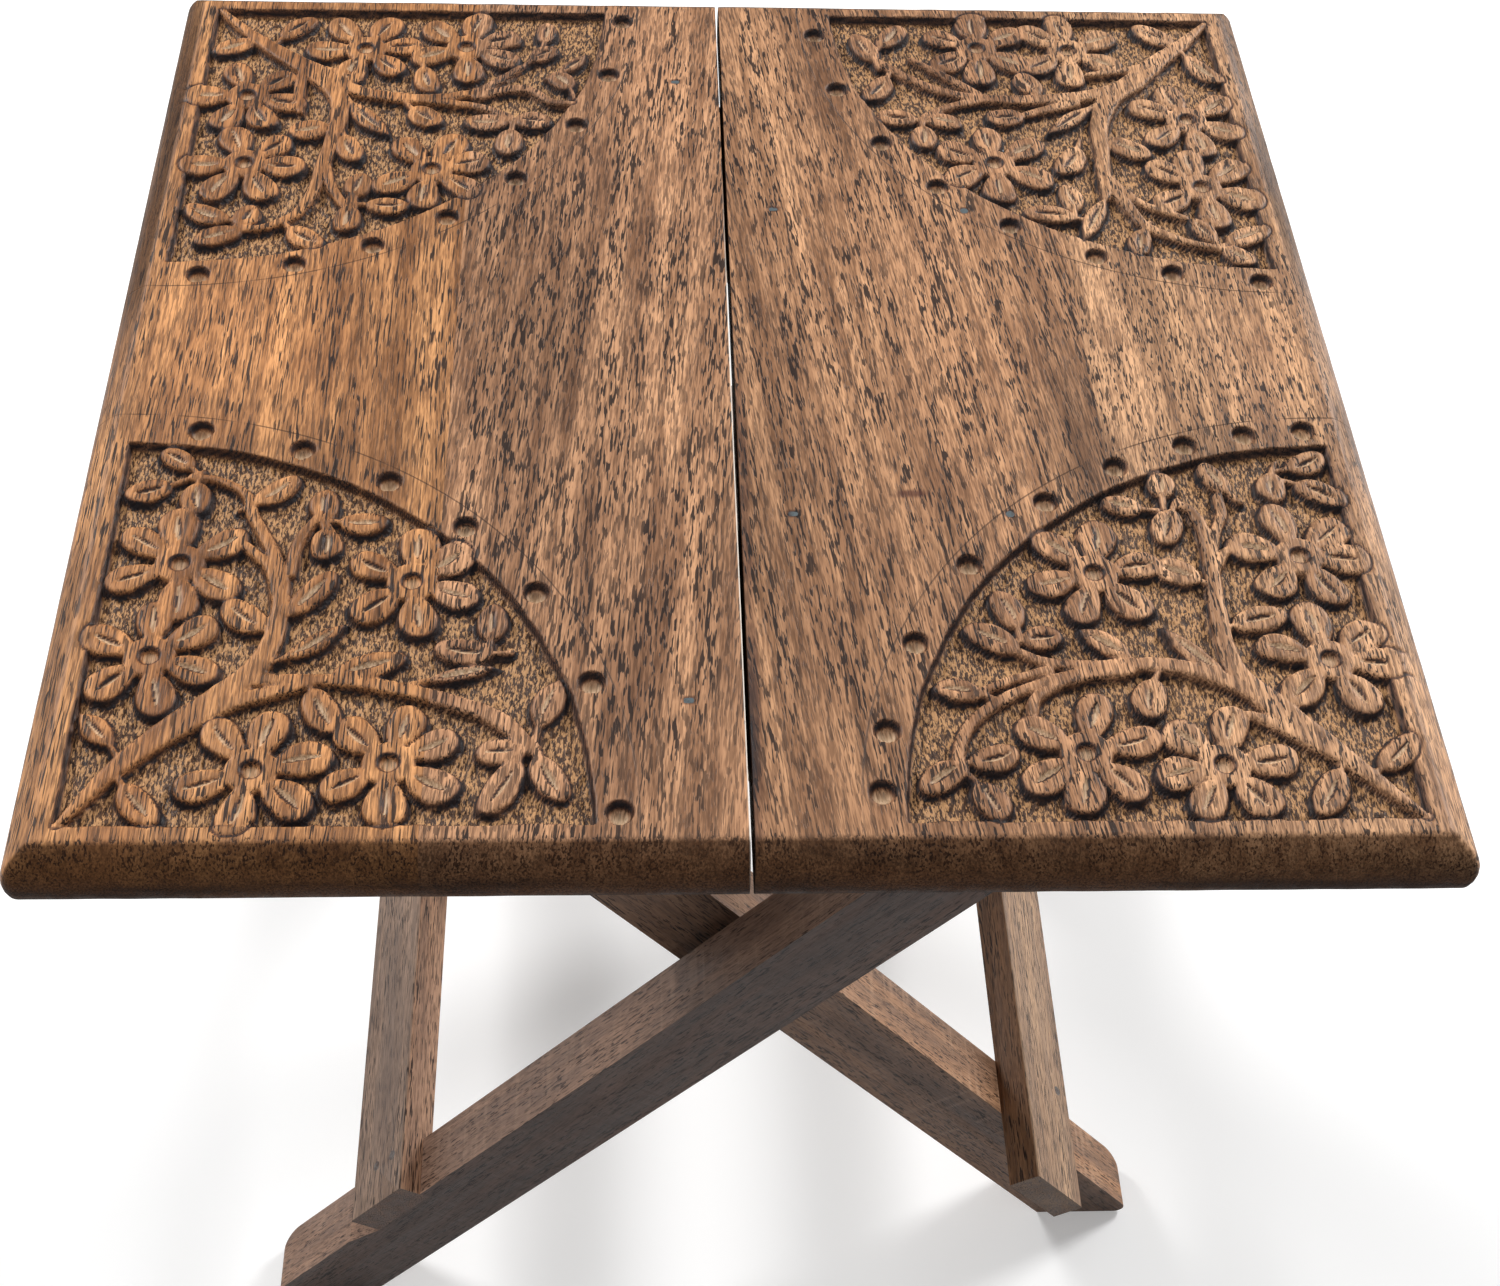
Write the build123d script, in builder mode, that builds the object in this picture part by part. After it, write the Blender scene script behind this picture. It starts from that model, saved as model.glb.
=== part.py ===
"""Folding two-leaf wooden stand on crossed legs.

Millimetres. +Z is up, +X is to the right and +Y is to the back. The origin is on the floor, under
the middle of the top. The seam between the two leaves runs along Y, and so does every hinge line.
"""
import os
from math import cos, radians, sin, tan

from build123d import *

# ---- overall sizes ----
TOP_SIZE = 305.0            # square top, 12 inches
STAND_HEIGHT = 305.0        # floor to top face, 12 inches
LEAF_THICKNESS = 14.0
SEAM_GAP = 1.0
GLUE_LINE_LEFT = 68.0       # from the seam to the joint between a leaf's two planks
GLUE_LINE_RIGHT = 88.0

# ---- moulded edge and drilled dimples of the top ----
EDGE_BEVEL_OUT = 7.0        # how far the bevel runs in from the edge
EDGE_BEVEL_DOWN = 6.0       # how far it runs down from the top face
EDGE_ROUND = 2.0
CORNER_ROUND = 3.5
PANEL_CORNER = 142.0        # the carved quarter circles are centred here, in X and in Y
DIMPLE_RING_RADIUS = 114.8
DIMPLE_RADIUS = 3.0
DIMPLE_DEPTH = 2.5
# Degrees from the front or back edge, round each corner (side, end): drilled by hand, so uneven.
DIMPLE_ANGLES = {
    (-1, -1): (1.3, 18.8, 33.2, 46.2, 57.8, 69.4, 81.9),
    (1, -1): (3.7, 11.8, 24.7, 38.3, 52.3, 63.0, 72.6, 80.3, 87.7),
    (-1, 1): (1.9, 14.7, 26.9, 40.9, 52.7, 63.5, 73.8, 85.8),
    (1, 1): (4.6, 17.6, 30.6, 42.2, 54.1, 66.3, 76.3, 87.7),
}

# ---- crossed legs ----
LEG_LEAN = 37.2             # degrees from upright
LEG_WIDTH = 25.0            # across the lean
LEG_THICKNESS = 18.0        # along Y
PIVOT_HEIGHT = 163.0
OUTER_FRAME_HALF = 107.0    # outer faces of the outer legs, from the middle
LEG_SIDE_GAP = 6.0          # between an outer leg and the inner leg beside it
FOOT_ROUND = 3.0            # at the toe, in the side view
TOE_CORNER_ROUND = 5.5      # at the toe, in plan, on the side towards the middle
LEG_RELIEF_ANGLE = 7.0      # slope of the cut at the leg's head, from upright

# ---- rails ----
RAIL_WIDTH = 27.0
RAIL_THICKNESS = 10.0
RAIL_EDGE_ROUND = 0.8
FOOT_RAIL_DOWN = 142.0      # along the leg, from the pivot to the middle of the foot rail
TOP_RAIL_MARGIN = 0.5       # how far a top rail reaches past its hinge plates' free edges
LEFT_RAIL_HOUSING = 3.0     # the left foot rail is let into its legs by this much
HOUSING_RUN_OUT = 12.0

# ---- hinges: one pattern for the seam and for the legs' heads ----
HINGE_LENGTH = 71.0
HINGE_WIDTH = 30.0          # from the pin to a plate's free edge
HINGE_CORNER_ROUND = 2.5
PLATE_THICKNESS = 1.5
PLATE_TO_PIN = 1.0          # from the pin's centre to a plate's inner face
KNUCKLE_RADIUS = 2.2
KNUCKLE_SIDE_GAP = 0.3
NOTCH_CLEARANCE = 0.4
PIN_RADIUS = 0.9
PIN_RUNNING_CLEARANCE = 0.05
OPEN_NOTCH_REACH = 14.0     # room for the loose middle knuckle of a right leg hinge
LEG_PIN_X = 89.0            # the leg hinges' pins, from the middle
SEAM_HINGE_Y = 82.5
LEFT_LEG_HINGE_Y = 45.0
RIGHT_LEG_HINGE_Y = 55.0

# ---- screws and nails ----
SCREW_HEAD_RADIUS = 3.0
SCREW_RADIUS = 1.5
LEAF_SCREW_LENGTH = 14.3
RAIL_SCREW_LENGTH = 10.0
SCREW_TIP_LENGTH = 2.8
NEAR_ROW = 12.5             # from the pin to the two holes near it
FAR_ROW = 26.0              # from the pin to the third hole
NEAR_ROW_HALF_PITCH = 27.5
NAIL_RADIUS = 0.9
NAIL_HEAD_RADIUS = 1.5
NAIL_HEAD_HEIGHT = 0.8
NAIL_LENGTH = 28.0
LEFT_NAIL_INSET = 13.0      # from the outer frame's outer face
LEFT_NAIL_SHIFTS = (-0.9, 7.7)  # up the leg, from the middle of the foot rail
RIGHT_NAIL_INSET = 5.0      # from the inner leg's inner face, out into the leg
RIGHT_NAIL_SHIFT = -7.0
TOP_NAILS_X = (74.0, 82.0)

# ---- pivot bolts, driven from inside so that nothing shows on the outer legs ----
BOLT_RADIUS = 3.0
BOLT_RUNNING_CLEARANCE = 0.08
BOLT_DEPTH_IN_OUTER_LEG = 12.0
BOLT_HEAD_ACROSS = 10.0
BOLT_HEAD_HEIGHT = 4.0
BOLT_TIP_CHAMFER = 0.8
WASHER_RADIUS = 9.0
SPACER_RADIUS = 6.0
WASHER_THICKNESS = 1.5
FACE_CLEARANCE = 0.3

# ---- worked out from the sizes above ----
UNDERSIDE = STAND_HEIGHT - LEAF_THICKNESS
PIN_HEIGHT = UNDERSIDE - PLATE_THICKNESS - PLATE_TO_PIN
RAIL_TOP = PIN_HEIGHT - PLATE_TO_PIN - PLATE_THICKNESS
LEG_HEAD = RAIL_TOP - RAIL_THICKNESS
LEAN_SLOPE = tan(radians(LEG_LEAN))
LEG_HALF_ACROSS = LEG_WIDTH / 2 / cos(radians(LEG_LEAN))
OUTER_LEG_INSIDE = OUTER_FRAME_HALF - LEG_THICKNESS
INNER_FRAME_HALF = OUTER_LEG_INSIDE - LEG_SIDE_GAP
INNER_LEG_INSIDE = INNER_FRAME_HALF - LEG_THICKNESS
TOP_RAIL_X = LEG_PIN_X - HINGE_WIDTH - TOP_RAIL_MARGIN + RAIL_WIDTH / 2

OUTER = 1                   # the outer frame leans to the right, the inner frame to the left
INNER = -1
ABOVE = 1
BELOW = -1
ENDS = {"front": -1, "back": 1}

os.makedirs("parts", exist_ok=True)


def save(piece, name):
    """Label one finished piece and write its STEP file."""
    piece.label = name
    export_step(piece, f"parts/{name}.step")


def facing_front(y):
    """A sketch plane across Y at the given y, facing the front."""
    return Plane.XZ.offset(-y)


def leg_point(frame, along, across):
    """A point of a leg's side view: along the leg from the pivot, and across towards its upper edge."""
    lean = radians(LEG_LEAN)
    x = frame * (along * sin(lean) - across * cos(lean))
    z = PIVOT_HEIGHT + along * cos(lean) + across * sin(lean)
    return (x, z)


# ---------------------------------------------------------------- fasteners

def wood_screws(spots, height, upward, length):
    """Countersunk screws with their heads' flat faces at one height, as one group."""
    head_rise = PLATE_THICKNESS
    shank_length = length - head_rise - SCREW_TIP_LENGTH
    with BuildPart() as screws:
        with BuildSketch(Plane.XZ):
            with BuildLine():
                Polyline(
                    (0, 0),
                    (SCREW_HEAD_RADIUS, 0),
                    (SCREW_RADIUS, upward * head_rise),
                    (SCREW_RADIUS, upward * (head_rise + shank_length)),
                    (0, upward * length),
                    close=True,
                )
            make_face()
        revolve(axis=Axis.Z)
    one_screw = screws.part
    with BuildPart() as group:
        with Locations(*[(x, y, height) for x, y in spots]):
            add(one_screw)
    return group.part


def screw_spots(pin_x, hinge_y, toward):
    """The three staggered holes of one plate; toward is the side of the pin that the plate is on."""
    return [
        (pin_x + toward * NEAR_ROW, hinge_y - NEAR_ROW_HALF_PITCH),
        (pin_x + toward * NEAR_ROW, hinge_y + NEAR_ROW_HALF_PITCH),
        (pin_x + toward * FAR_ROW, hinge_y),
    ]


def nails(planes, length):
    """Wire nails driven along each plane's normal, backwards, as one group."""
    with BuildPart() as group:
        for plane in planes:
            with BuildSketch(plane):
                Circle(NAIL_HEAD_RADIUS)
            extrude(amount=-NAIL_HEAD_HEIGHT)
            with BuildSketch(plane):
                Circle(NAIL_RADIUS)
            extrude(amount=-length)
    return group.part


def foot_rail_face(frame, housing, along, y):
    """A plane on a foot rail's outer broad face, facing away from the leg."""
    x, z = leg_point(frame, along, LEG_WIDTH / 2 + RAIL_THICKNESS - housing)
    lean = radians(LEG_LEAN)
    return Plane(origin=(x, y, z), x_dir=(0, 1, 0), z_dir=(-frame * cos(lean), 0, sin(lean)))


left_leaf_spots = []
right_leaf_spots = []
inner_rail_spots = []
outer_rail_spots = []
for end in ENDS.values():
    left_leaf_spots += screw_spots(0, end * SEAM_HINGE_Y, -1)
    left_leaf_spots += screw_spots(-LEG_PIN_X, end * LEFT_LEG_HINGE_Y, 1)
    right_leaf_spots += screw_spots(0, end * SEAM_HINGE_Y, 1)
    right_leaf_spots += screw_spots(LEG_PIN_X, end * RIGHT_LEG_HINGE_Y, -1)
    inner_rail_spots += screw_spots(-LEG_PIN_X, end * LEFT_LEG_HINGE_Y, 1)
    outer_rail_spots += screw_spots(LEG_PIN_X, end * RIGHT_LEG_HINGE_Y, -1)

leaf_plate_face = PIN_HEIGHT + PLATE_TO_PIN
rail_plate_face = PIN_HEIGHT - PLATE_TO_PIN
left_leaf_screws = wood_screws(left_leaf_spots, leaf_plate_face, 1, LEAF_SCREW_LENGTH)
right_leaf_screws = wood_screws(right_leaf_spots, leaf_plate_face, 1, LEAF_SCREW_LENGTH)
inner_rail_screws = wood_screws(inner_rail_spots, rail_plate_face, -1, RAIL_SCREW_LENGTH)
outer_rail_screws = wood_screws(outer_rail_spots, rail_plate_face, -1, RAIL_SCREW_LENGTH)
save(left_leaf_screws, "left_leaf_screws")
save(right_leaf_screws, "right_leaf_screws")
save(inner_rail_screws, "inner_rail_screws")
save(outer_rail_screws, "outer_rail_screws")

left_nail_y = OUTER_FRAME_HALF - LEFT_NAIL_INSET
left_rail_nails = nails(
    [
        foot_rail_face(OUTER, LEFT_RAIL_HOUSING, -FOOT_RAIL_DOWN + shift, end * left_nail_y)
        for end in ENDS.values()
        for shift in LEFT_NAIL_SHIFTS
    ],
    NAIL_LENGTH,
)
right_nail_y = INNER_LEG_INSIDE + RIGHT_NAIL_INSET
right_rail_nails = nails(
    [
        foot_rail_face(INNER, 0, -FOOT_RAIL_DOWN + RIGHT_NAIL_SHIFT, end * right_nail_y)
        for end in ENDS.values()
    ],
    NAIL_LENGTH,
)
save(left_rail_nails, "left_rail_nails")
save(right_rail_nails, "right_rail_nails")


def top_rail_nails(frame, y):
    """Two nails down through each end of a top rail, into the heads of its legs."""
    spots = [(frame * x, end * y) for end in ENDS.values() for x in TOP_NAILS_X]
    return nails([Plane(origin=(x, y, RAIL_TOP)) for x, y in spots], NAIL_LENGTH)


outer_top_rail_nails = top_rail_nails(OUTER, OUTER_FRAME_HALF - LEG_THICKNESS / 2)
inner_top_rail_nails = top_rail_nails(INNER, INNER_FRAME_HALF - LEG_THICKNESS / 3)
save(outer_top_rail_nails, "outer_top_rail_nails")
save(inner_top_rail_nails, "inner_top_rail_nails")


# ---------------------------------------------------------------- pivot bolts, washers and spacers

bolt_head_face = INNER_LEG_INSIDE - FACE_CLEARANCE - WASHER_THICKNESS
bolt_tip = OUTER_LEG_INSIDE + BOLT_DEPTH_IN_OUTER_LEG
pivot_bolts = {}
for place, end in ENDS.items():
    pivot_plane = Plane(origin=(0, end * bolt_head_face, PIVOT_HEIGHT), z_dir=(0, end, 0))
    with BuildPart() as pivot_bolt:
        with BuildSketch(pivot_plane):
            RegularPolygon(radius=BOLT_HEAD_ACROSS / 2, side_count=6, major_radius=False)
        extrude(amount=-BOLT_HEAD_HEIGHT)
        with BuildSketch(pivot_plane):
            Circle(BOLT_RADIUS)
        extrude(amount=bolt_tip - bolt_head_face)
        chamfer(pivot_bolt.edges().sort_by(Axis.Y)[-1 if end > 0 else 0], length=BOLT_TIP_CHAMFER)
    pivot_bolts[place] = pivot_bolt.part
    save(pivot_bolt.part, f"{place}_pivot_bolt")

    with BuildPart() as head_washer:
        with BuildSketch(pivot_plane):
            Circle(WASHER_RADIUS)
            Circle(BOLT_RADIUS, mode=Mode.SUBTRACT)
        extrude(amount=WASHER_THICKNESS)
    save(head_washer.part, f"{place}_head_washer")

    spacer_length = LEG_SIDE_GAP - FACE_CLEARANCE
    with BuildPart() as spacer:
        with BuildSketch(pivot_plane.offset(bolt_tip - bolt_head_face - BOLT_DEPTH_IN_OUTER_LEG)):
            Circle(SPACER_RADIUS)
            Circle(BOLT_RADIUS, mode=Mode.SUBTRACT)
        extrude(amount=-spacer_length)
    save(spacer.part, f"{place}_pivot_spacer")


# ---------------------------------------------------------------- foot rails and top rails

def foot_rail(frame, housing, fasteners):
    """A rail along Y, nailed to the upper edges of a frame's legs near the feet."""
    face = foot_rail_face(frame, housing, -FOOT_RAIL_DOWN, 0)
    with BuildPart() as rail:
        with BuildSketch(face):
            Rectangle(2 * OUTER_FRAME_HALF, RAIL_WIDTH)
        extrude(amount=-RAIL_THICKNESS)
        outer_face = rail.faces().filter_by(face).sort_by(Axis.Z)[-1]
        fillet(outer_face.edges().filter_by(Axis.Y), radius=RAIL_EDGE_ROUND)
        add(fasteners, mode=Mode.SUBTRACT)
    return rail.part


def top_rail(frame, half_length, fasteners):
    """A flat rail along Y under a leaf, on the heads of a frame's legs."""
    with BuildPart() as rail:
        with BuildSketch(Plane.XY.offset(LEG_HEAD)):
            with Locations((frame * TOP_RAIL_X, 0)):
                Rectangle(RAIL_WIDTH, 2 * half_length)
        extrude(amount=RAIL_THICKNESS)
        for fastener in fasteners:
            add(fastener, mode=Mode.SUBTRACT)
    return rail.part


left_foot_rail = foot_rail(OUTER, LEFT_RAIL_HOUSING, left_rail_nails)
right_foot_rail = foot_rail(INNER, 0, right_rail_nails)
outer_top_rail = top_rail(OUTER, OUTER_FRAME_HALF, [outer_rail_screws, outer_top_rail_nails])
inner_top_rail = top_rail(INNER, INNER_FRAME_HALF, [inner_rail_screws, inner_top_rail_nails])
save(left_foot_rail, "left_foot_rail")
save(right_foot_rail, "right_foot_rail")
save(outer_top_rail, "outer_top_rail")
save(inner_top_rail, "inner_top_rail")


# ---------------------------------------------------------------- legs

def leg_outline(frame):
    """Side view of one leg: level sole, level head, and a relief cut where the leaf swings past."""
    sole_x = -PIVOT_HEIGHT * LEAN_SLOPE
    head_x = (LEG_HEAD - PIVOT_HEIGHT) * LEAN_SLOPE
    relief_slope = tan(radians(LEG_RELIEF_ANGLE))
    outer_edge_at_pin = (PIN_HEIGHT - PIVOT_HEIGHT) * LEAN_SLOPE + LEG_HALF_ACROSS
    relief_drop = (outer_edge_at_pin - LEG_PIN_X) / (LEAN_SLOPE - relief_slope)
    corners = [
        (sole_x - LEG_HALF_ACROSS, 0),
        (sole_x + LEG_HALF_ACROSS, 0),
        (LEG_PIN_X - relief_drop * relief_slope, PIN_HEIGHT - relief_drop),
        (LEG_PIN_X - (PIN_HEIGHT - LEG_HEAD) * relief_slope, LEG_HEAD),
        (head_x - LEG_HALF_ACROSS, LEG_HEAD),
    ]
    return [(frame * x, z) for x, z in corners]


def leg(frame, end, inside, cutters, bolt_hole_radius, bolt_hole_depth, housing):
    """One leg board; inside is the distance of its inner face from the middle."""
    back_face = inside + LEG_THICKNESS if end > 0 else -inside
    half_toe_angle = radians((90 - LEG_LEAN) / 2)
    sharp_toe = -PIVOT_HEIGHT * LEAN_SLOPE - LEG_HALF_ACROSS
    toe_tip = frame * (sharp_toe + FOOT_ROUND * (1 / tan(half_toe_angle) - 1))
    with BuildPart() as board:
        with BuildSketch(facing_front(back_face)) as side:
            with BuildLine():
                Polyline(*leg_outline(frame), close=True)
            make_face()
            toe = side.vertices().sort_by(Axis.X)[0 if frame == OUTER else -1]
            fillet(toe, radius=FOOT_ROUND)
        extrude(amount=LEG_THICKNESS)
        with BuildSketch():
            with Locations((toe_tip + frame * TOE_CORNER_ROUND / 2, end * (inside + TOE_CORNER_ROUND / 2))):
                Rectangle(TOE_CORNER_ROUND, TOE_CORNER_ROUND)
            with Locations((toe_tip + frame * TOE_CORNER_ROUND, end * (inside + TOE_CORNER_ROUND))):
                Circle(TOE_CORNER_ROUND, mode=Mode.SUBTRACT)
        extrude(amount=PIVOT_HEIGHT / 2, mode=Mode.SUBTRACT)
        hole_mouth = Plane(origin=(0, end * inside, PIVOT_HEIGHT), z_dir=(0, end, 0))
        with BuildSketch(hole_mouth):
            Circle(bolt_hole_radius)
        extrude(amount=bolt_hole_depth, mode=Mode.SUBTRACT)
        if housing:
            middle = -FOOT_RAIL_DOWN
            upper_edge = LEG_WIDTH / 2
            floor_edge = upper_edge - housing
            with BuildSketch(facing_front(back_face)):
                with BuildLine():
                    Polyline(
                        leg_point(frame, middle + RAIL_WIDTH / 2, upper_edge + 1),
                        leg_point(frame, middle + RAIL_WIDTH / 2, floor_edge),
                        leg_point(frame, middle - RAIL_WIDTH / 2, floor_edge),
                        leg_point(frame, middle - RAIL_WIDTH / 2 - HOUSING_RUN_OUT, upper_edge),
                        leg_point(frame, middle - RAIL_WIDTH / 2 - HOUSING_RUN_OUT, upper_edge + 1),
                        close=True,
                    )
                make_face()
            extrude(amount=LEG_THICKNESS, mode=Mode.SUBTRACT)
        for cutter in cutters:
            add(cutter, mode=Mode.SUBTRACT)
    return board.part


for place, end in ENDS.items():
    outer_leg = leg(
        OUTER, end, OUTER_LEG_INSIDE, [left_rail_nails, outer_top_rail_nails],
        BOLT_RADIUS, BOLT_DEPTH_IN_OUTER_LEG, LEFT_RAIL_HOUSING,
    )
    inner_leg = leg(
        INNER, end, INNER_LEG_INSIDE, [right_rail_nails, inner_top_rail_nails],
        BOLT_RADIUS + BOLT_RUNNING_CLEARANCE, LEG_THICKNESS, 0,
    )
    save(outer_leg, f"outer_{place}_leg")
    save(inner_leg, f"inner_{place}_leg")


# ---------------------------------------------------------------- leaves

def leaf(side, fasteners):
    """One whole leaf, before it is parted into its two planks."""
    half = TOP_SIZE / 2
    width = half - SEAM_GAP / 2
    middle = side * (SEAM_GAP / 2 + width / 2)
    seam_side = 0 if side > 0 else -1
    edge_side = -1 if side > 0 else 0
    with BuildPart() as slab:
        with BuildSketch(Plane.XY.offset(UNDERSIDE)):
            with Locations((middle, 0)):
                Rectangle(width, TOP_SIZE)
        extrude(amount=LEAF_THICKNESS)
        top_face = slab.faces().sort_by(Axis.Z)[-1]
        top_edges = top_face.edges()
        under_edges = slab.faces().sort_by(Axis.Z)[0].edges()
        seam_top = top_edges.sort_by(Axis.X)[seam_side]
        seam_under = under_edges.sort_by(Axis.X)[seam_side]
        chamfer(
            top_edges - [seam_top],
            length=EDGE_BEVEL_OUT,
            length2=EDGE_BEVEL_DOWN,
            reference=top_face,
        )
        fillet(under_edges - [seam_under], radius=EDGE_ROUND)
        with BuildSketch(Plane.XY.offset(UNDERSIDE)) as outline:
            with Locations((middle, 0)):
                Rectangle(width, TOP_SIZE)
            fillet(outline.vertices().group_by(Axis.X)[edge_side], radius=CORNER_ROUND)
        extrude(amount=LEAF_THICKNESS, mode=Mode.INTERSECT)
        for end in ENDS.values():
            for angle in DIMPLE_ANGLES[side, end]:
                from_corner_x = DIMPLE_RING_RADIUS * cos(radians(angle))
                from_corner_y = DIMPLE_RING_RADIUS * sin(radians(angle))
                dimple_x = side * (PANEL_CORNER - from_corner_x)
                dimple_y = end * (PANEL_CORNER - from_corner_y)
                with BuildSketch(Plane.XY.offset(STAND_HEIGHT)):
                    with Locations((dimple_x, dimple_y)):
                        Circle(DIMPLE_RADIUS)
                extrude(amount=-DIMPLE_DEPTH, mode=Mode.SUBTRACT)
        add(fasteners, mode=Mode.SUBTRACT)
    return slab.part


for side, name, fasteners, glue_line in (
    (-1, "left", left_leaf_screws, GLUE_LINE_LEFT),
    (1, "right", right_leaf_screws, GLUE_LINE_RIGHT),
):
    whole_leaf = leaf(side, fasteners)
    glue_plane = Plane.YZ.offset(side * glue_line)
    toward_middle = Keep.BOTTOM if side > 0 else Keep.TOP
    toward_edge = Keep.TOP if side > 0 else Keep.BOTTOM
    with BuildPart() as inner_plank:
        add(whole_leaf)
        split(bisect_by=glue_plane, keep=toward_middle)
    with BuildPart() as outer_plank:
        add(whole_leaf)
        split(bisect_by=glue_plane, keep=toward_edge)
    save(inner_plank.part, f"{name}_inner_plank")
    save(outer_plank.part, f"{name}_outer_plank")


# ---------------------------------------------------------------- hinges

knuckle_length = (HINGE_LENGTH - 2 * KNUCKLE_SIDE_GAP) / 3
end_knuckle_middle = (HINGE_LENGTH - knuckle_length) / 2
notch_reach = KNUCKLE_RADIUS + NOTCH_CLEARANCE


def hinge_plate(pin_x, hinge_y, toward, level, has_ends, bore, reach, screws):
    """One plate of a hinge, with either the two end knuckles or the middle one.

    toward is the side of the pin that the plate lies on, and level says whether it is above or
    below the pin. reach is how far its notches run in from the pin.
    """
    inner_face = PIN_HEIGHT + level * PLATE_TO_PIN
    own = [-end_knuckle_middle, end_knuckle_middle] if has_ends else [0]
    other = [0] if has_ends else [-end_knuckle_middle, end_knuckle_middle]
    notch_length = knuckle_length + 2 * KNUCKLE_SIDE_GAP
    with BuildPart() as plate:
        with BuildSketch(Plane.XY.offset(inner_face)):
            with Locations((pin_x + toward * HINGE_WIDTH / 2, hinge_y)):
                Rectangle(HINGE_WIDTH, HINGE_LENGTH)
            for place in other:
                with Locations((pin_x, hinge_y + place)):
                    Rectangle(2 * reach, notch_length, mode=Mode.SUBTRACT)
        extrude(amount=level * PLATE_THICKNESS)
        free_edges = plate.edges().filter_by(Axis.Z).group_by(Axis.X)[-1 if toward > 0 else 0]
        fillet(free_edges, radius=HINGE_CORNER_ROUND)
        for place in own:
            end_y = hinge_y + place + knuckle_length / 2
            with BuildSketch(Plane.XZ.offset(-end_y)):
                with Locations((pin_x, PIN_HEIGHT)):
                    Circle(KNUCKLE_RADIUS)
            extrude(amount=knuckle_length)
        with BuildSketch(Plane.XZ.offset(-hinge_y)):
            with Locations((pin_x, PIN_HEIGHT)):
                Circle(bore)
        extrude(amount=HINGE_LENGTH, both=True, mode=Mode.SUBTRACT)
        add(screws, mode=Mode.SUBTRACT)
    return plate.part


def hinge_pin(pin_x, hinge_y, stretches):
    """A hinge pin, or two stubs of one, with the stretches given as (middle, length) along Y."""
    with BuildPart() as pin:
        for middle, length in stretches:
            with BuildSketch(Plane.XZ.offset(-(hinge_y + middle))):
                with Locations((pin_x, PIN_HEIGHT)):
                    Circle(PIN_RADIUS)
            extrude(amount=length / 2, both=True)
    return pin.part


running_bore = PIN_RADIUS + PIN_RUNNING_CLEARANCE
whole_pin = [(0, HINGE_LENGTH)]
pin_stubs = [(-end_knuckle_middle, knuckle_length), (end_knuckle_middle, knuckle_length)]
for place, end in ENDS.items():
    seam_y = end * SEAM_HINGE_Y
    left_y = end * LEFT_LEG_HINGE_Y
    right_y = end * RIGHT_LEG_HINGE_Y
    save(
        hinge_plate(0, seam_y, -1, ABOVE, True, PIN_RADIUS, notch_reach, left_leaf_screws),
        f"{place}_seam_left_plate",
    )
    save(
        hinge_plate(0, seam_y, 1, ABOVE, False, running_bore, notch_reach, right_leaf_screws),
        f"{place}_seam_right_plate",
    )
    save(hinge_pin(0, seam_y, whole_pin), f"{place}_seam_pin")
    save(
        hinge_plate(-LEG_PIN_X, left_y, 1, ABOVE, True, PIN_RADIUS, notch_reach, left_leaf_screws),
        f"{place}_left_leaf_plate",
    )
    save(
        hinge_plate(-LEG_PIN_X, left_y, 1, BELOW, False, running_bore, notch_reach, inner_rail_screws),
        f"{place}_left_rail_plate",
    )
    save(hinge_pin(-LEG_PIN_X, left_y, whole_pin), f"{place}_left_pin")
    save(
        hinge_plate(LEG_PIN_X, right_y, -1, ABOVE, True, PIN_RADIUS, OPEN_NOTCH_REACH, right_leaf_screws),
        f"{place}_right_leaf_plate",
    )
    save(
        hinge_plate(LEG_PIN_X, right_y, -1, BELOW, False, running_bore, notch_reach, outer_rail_screws),
        f"{place}_right_rail_plate",
    )
    save(hinge_pin(LEG_PIN_X, right_y, pin_stubs), f"{place}_right_pin_stubs")
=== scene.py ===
"""Looks of the folding two-leaf wooden stand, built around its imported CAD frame.

Blender works in metres. Shapes here are worked out in millimetres, in the same axes, and scaled once
when a mesh is made. The planks' tops are height fields: a carved relief in each outer corner, drilled
dimples round it and a moulded edge.
"""
import math

import bpy
import numpy as np
from mathutils import Matrix, Vector


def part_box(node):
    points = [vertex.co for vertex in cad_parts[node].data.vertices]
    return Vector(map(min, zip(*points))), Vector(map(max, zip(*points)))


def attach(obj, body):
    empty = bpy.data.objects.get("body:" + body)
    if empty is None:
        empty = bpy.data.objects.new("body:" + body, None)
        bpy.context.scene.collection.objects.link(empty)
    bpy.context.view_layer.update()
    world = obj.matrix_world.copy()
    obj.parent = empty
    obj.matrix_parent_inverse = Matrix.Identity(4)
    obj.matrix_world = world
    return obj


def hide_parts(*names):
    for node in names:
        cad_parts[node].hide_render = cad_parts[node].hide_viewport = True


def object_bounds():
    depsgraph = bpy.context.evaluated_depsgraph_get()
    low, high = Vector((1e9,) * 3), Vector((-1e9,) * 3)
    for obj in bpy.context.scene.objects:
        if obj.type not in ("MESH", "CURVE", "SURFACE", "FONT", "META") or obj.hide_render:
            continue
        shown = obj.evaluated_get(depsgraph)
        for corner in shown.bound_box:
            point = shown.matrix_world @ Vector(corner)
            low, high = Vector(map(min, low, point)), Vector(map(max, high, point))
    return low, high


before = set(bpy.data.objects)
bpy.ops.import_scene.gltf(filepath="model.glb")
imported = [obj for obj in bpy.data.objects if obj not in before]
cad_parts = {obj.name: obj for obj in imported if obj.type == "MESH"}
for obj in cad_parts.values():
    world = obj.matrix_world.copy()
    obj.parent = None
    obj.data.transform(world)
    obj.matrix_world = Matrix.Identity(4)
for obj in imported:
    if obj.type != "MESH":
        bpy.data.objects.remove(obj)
cad_low, cad_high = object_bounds()

MM = 0.001
TOP = cad_high.z / MM
HALF = cad_high.x / MM
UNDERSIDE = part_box("left_inner_plank")[0].z / MM

# ---------------------------------------------------------------- small helpers


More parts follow.
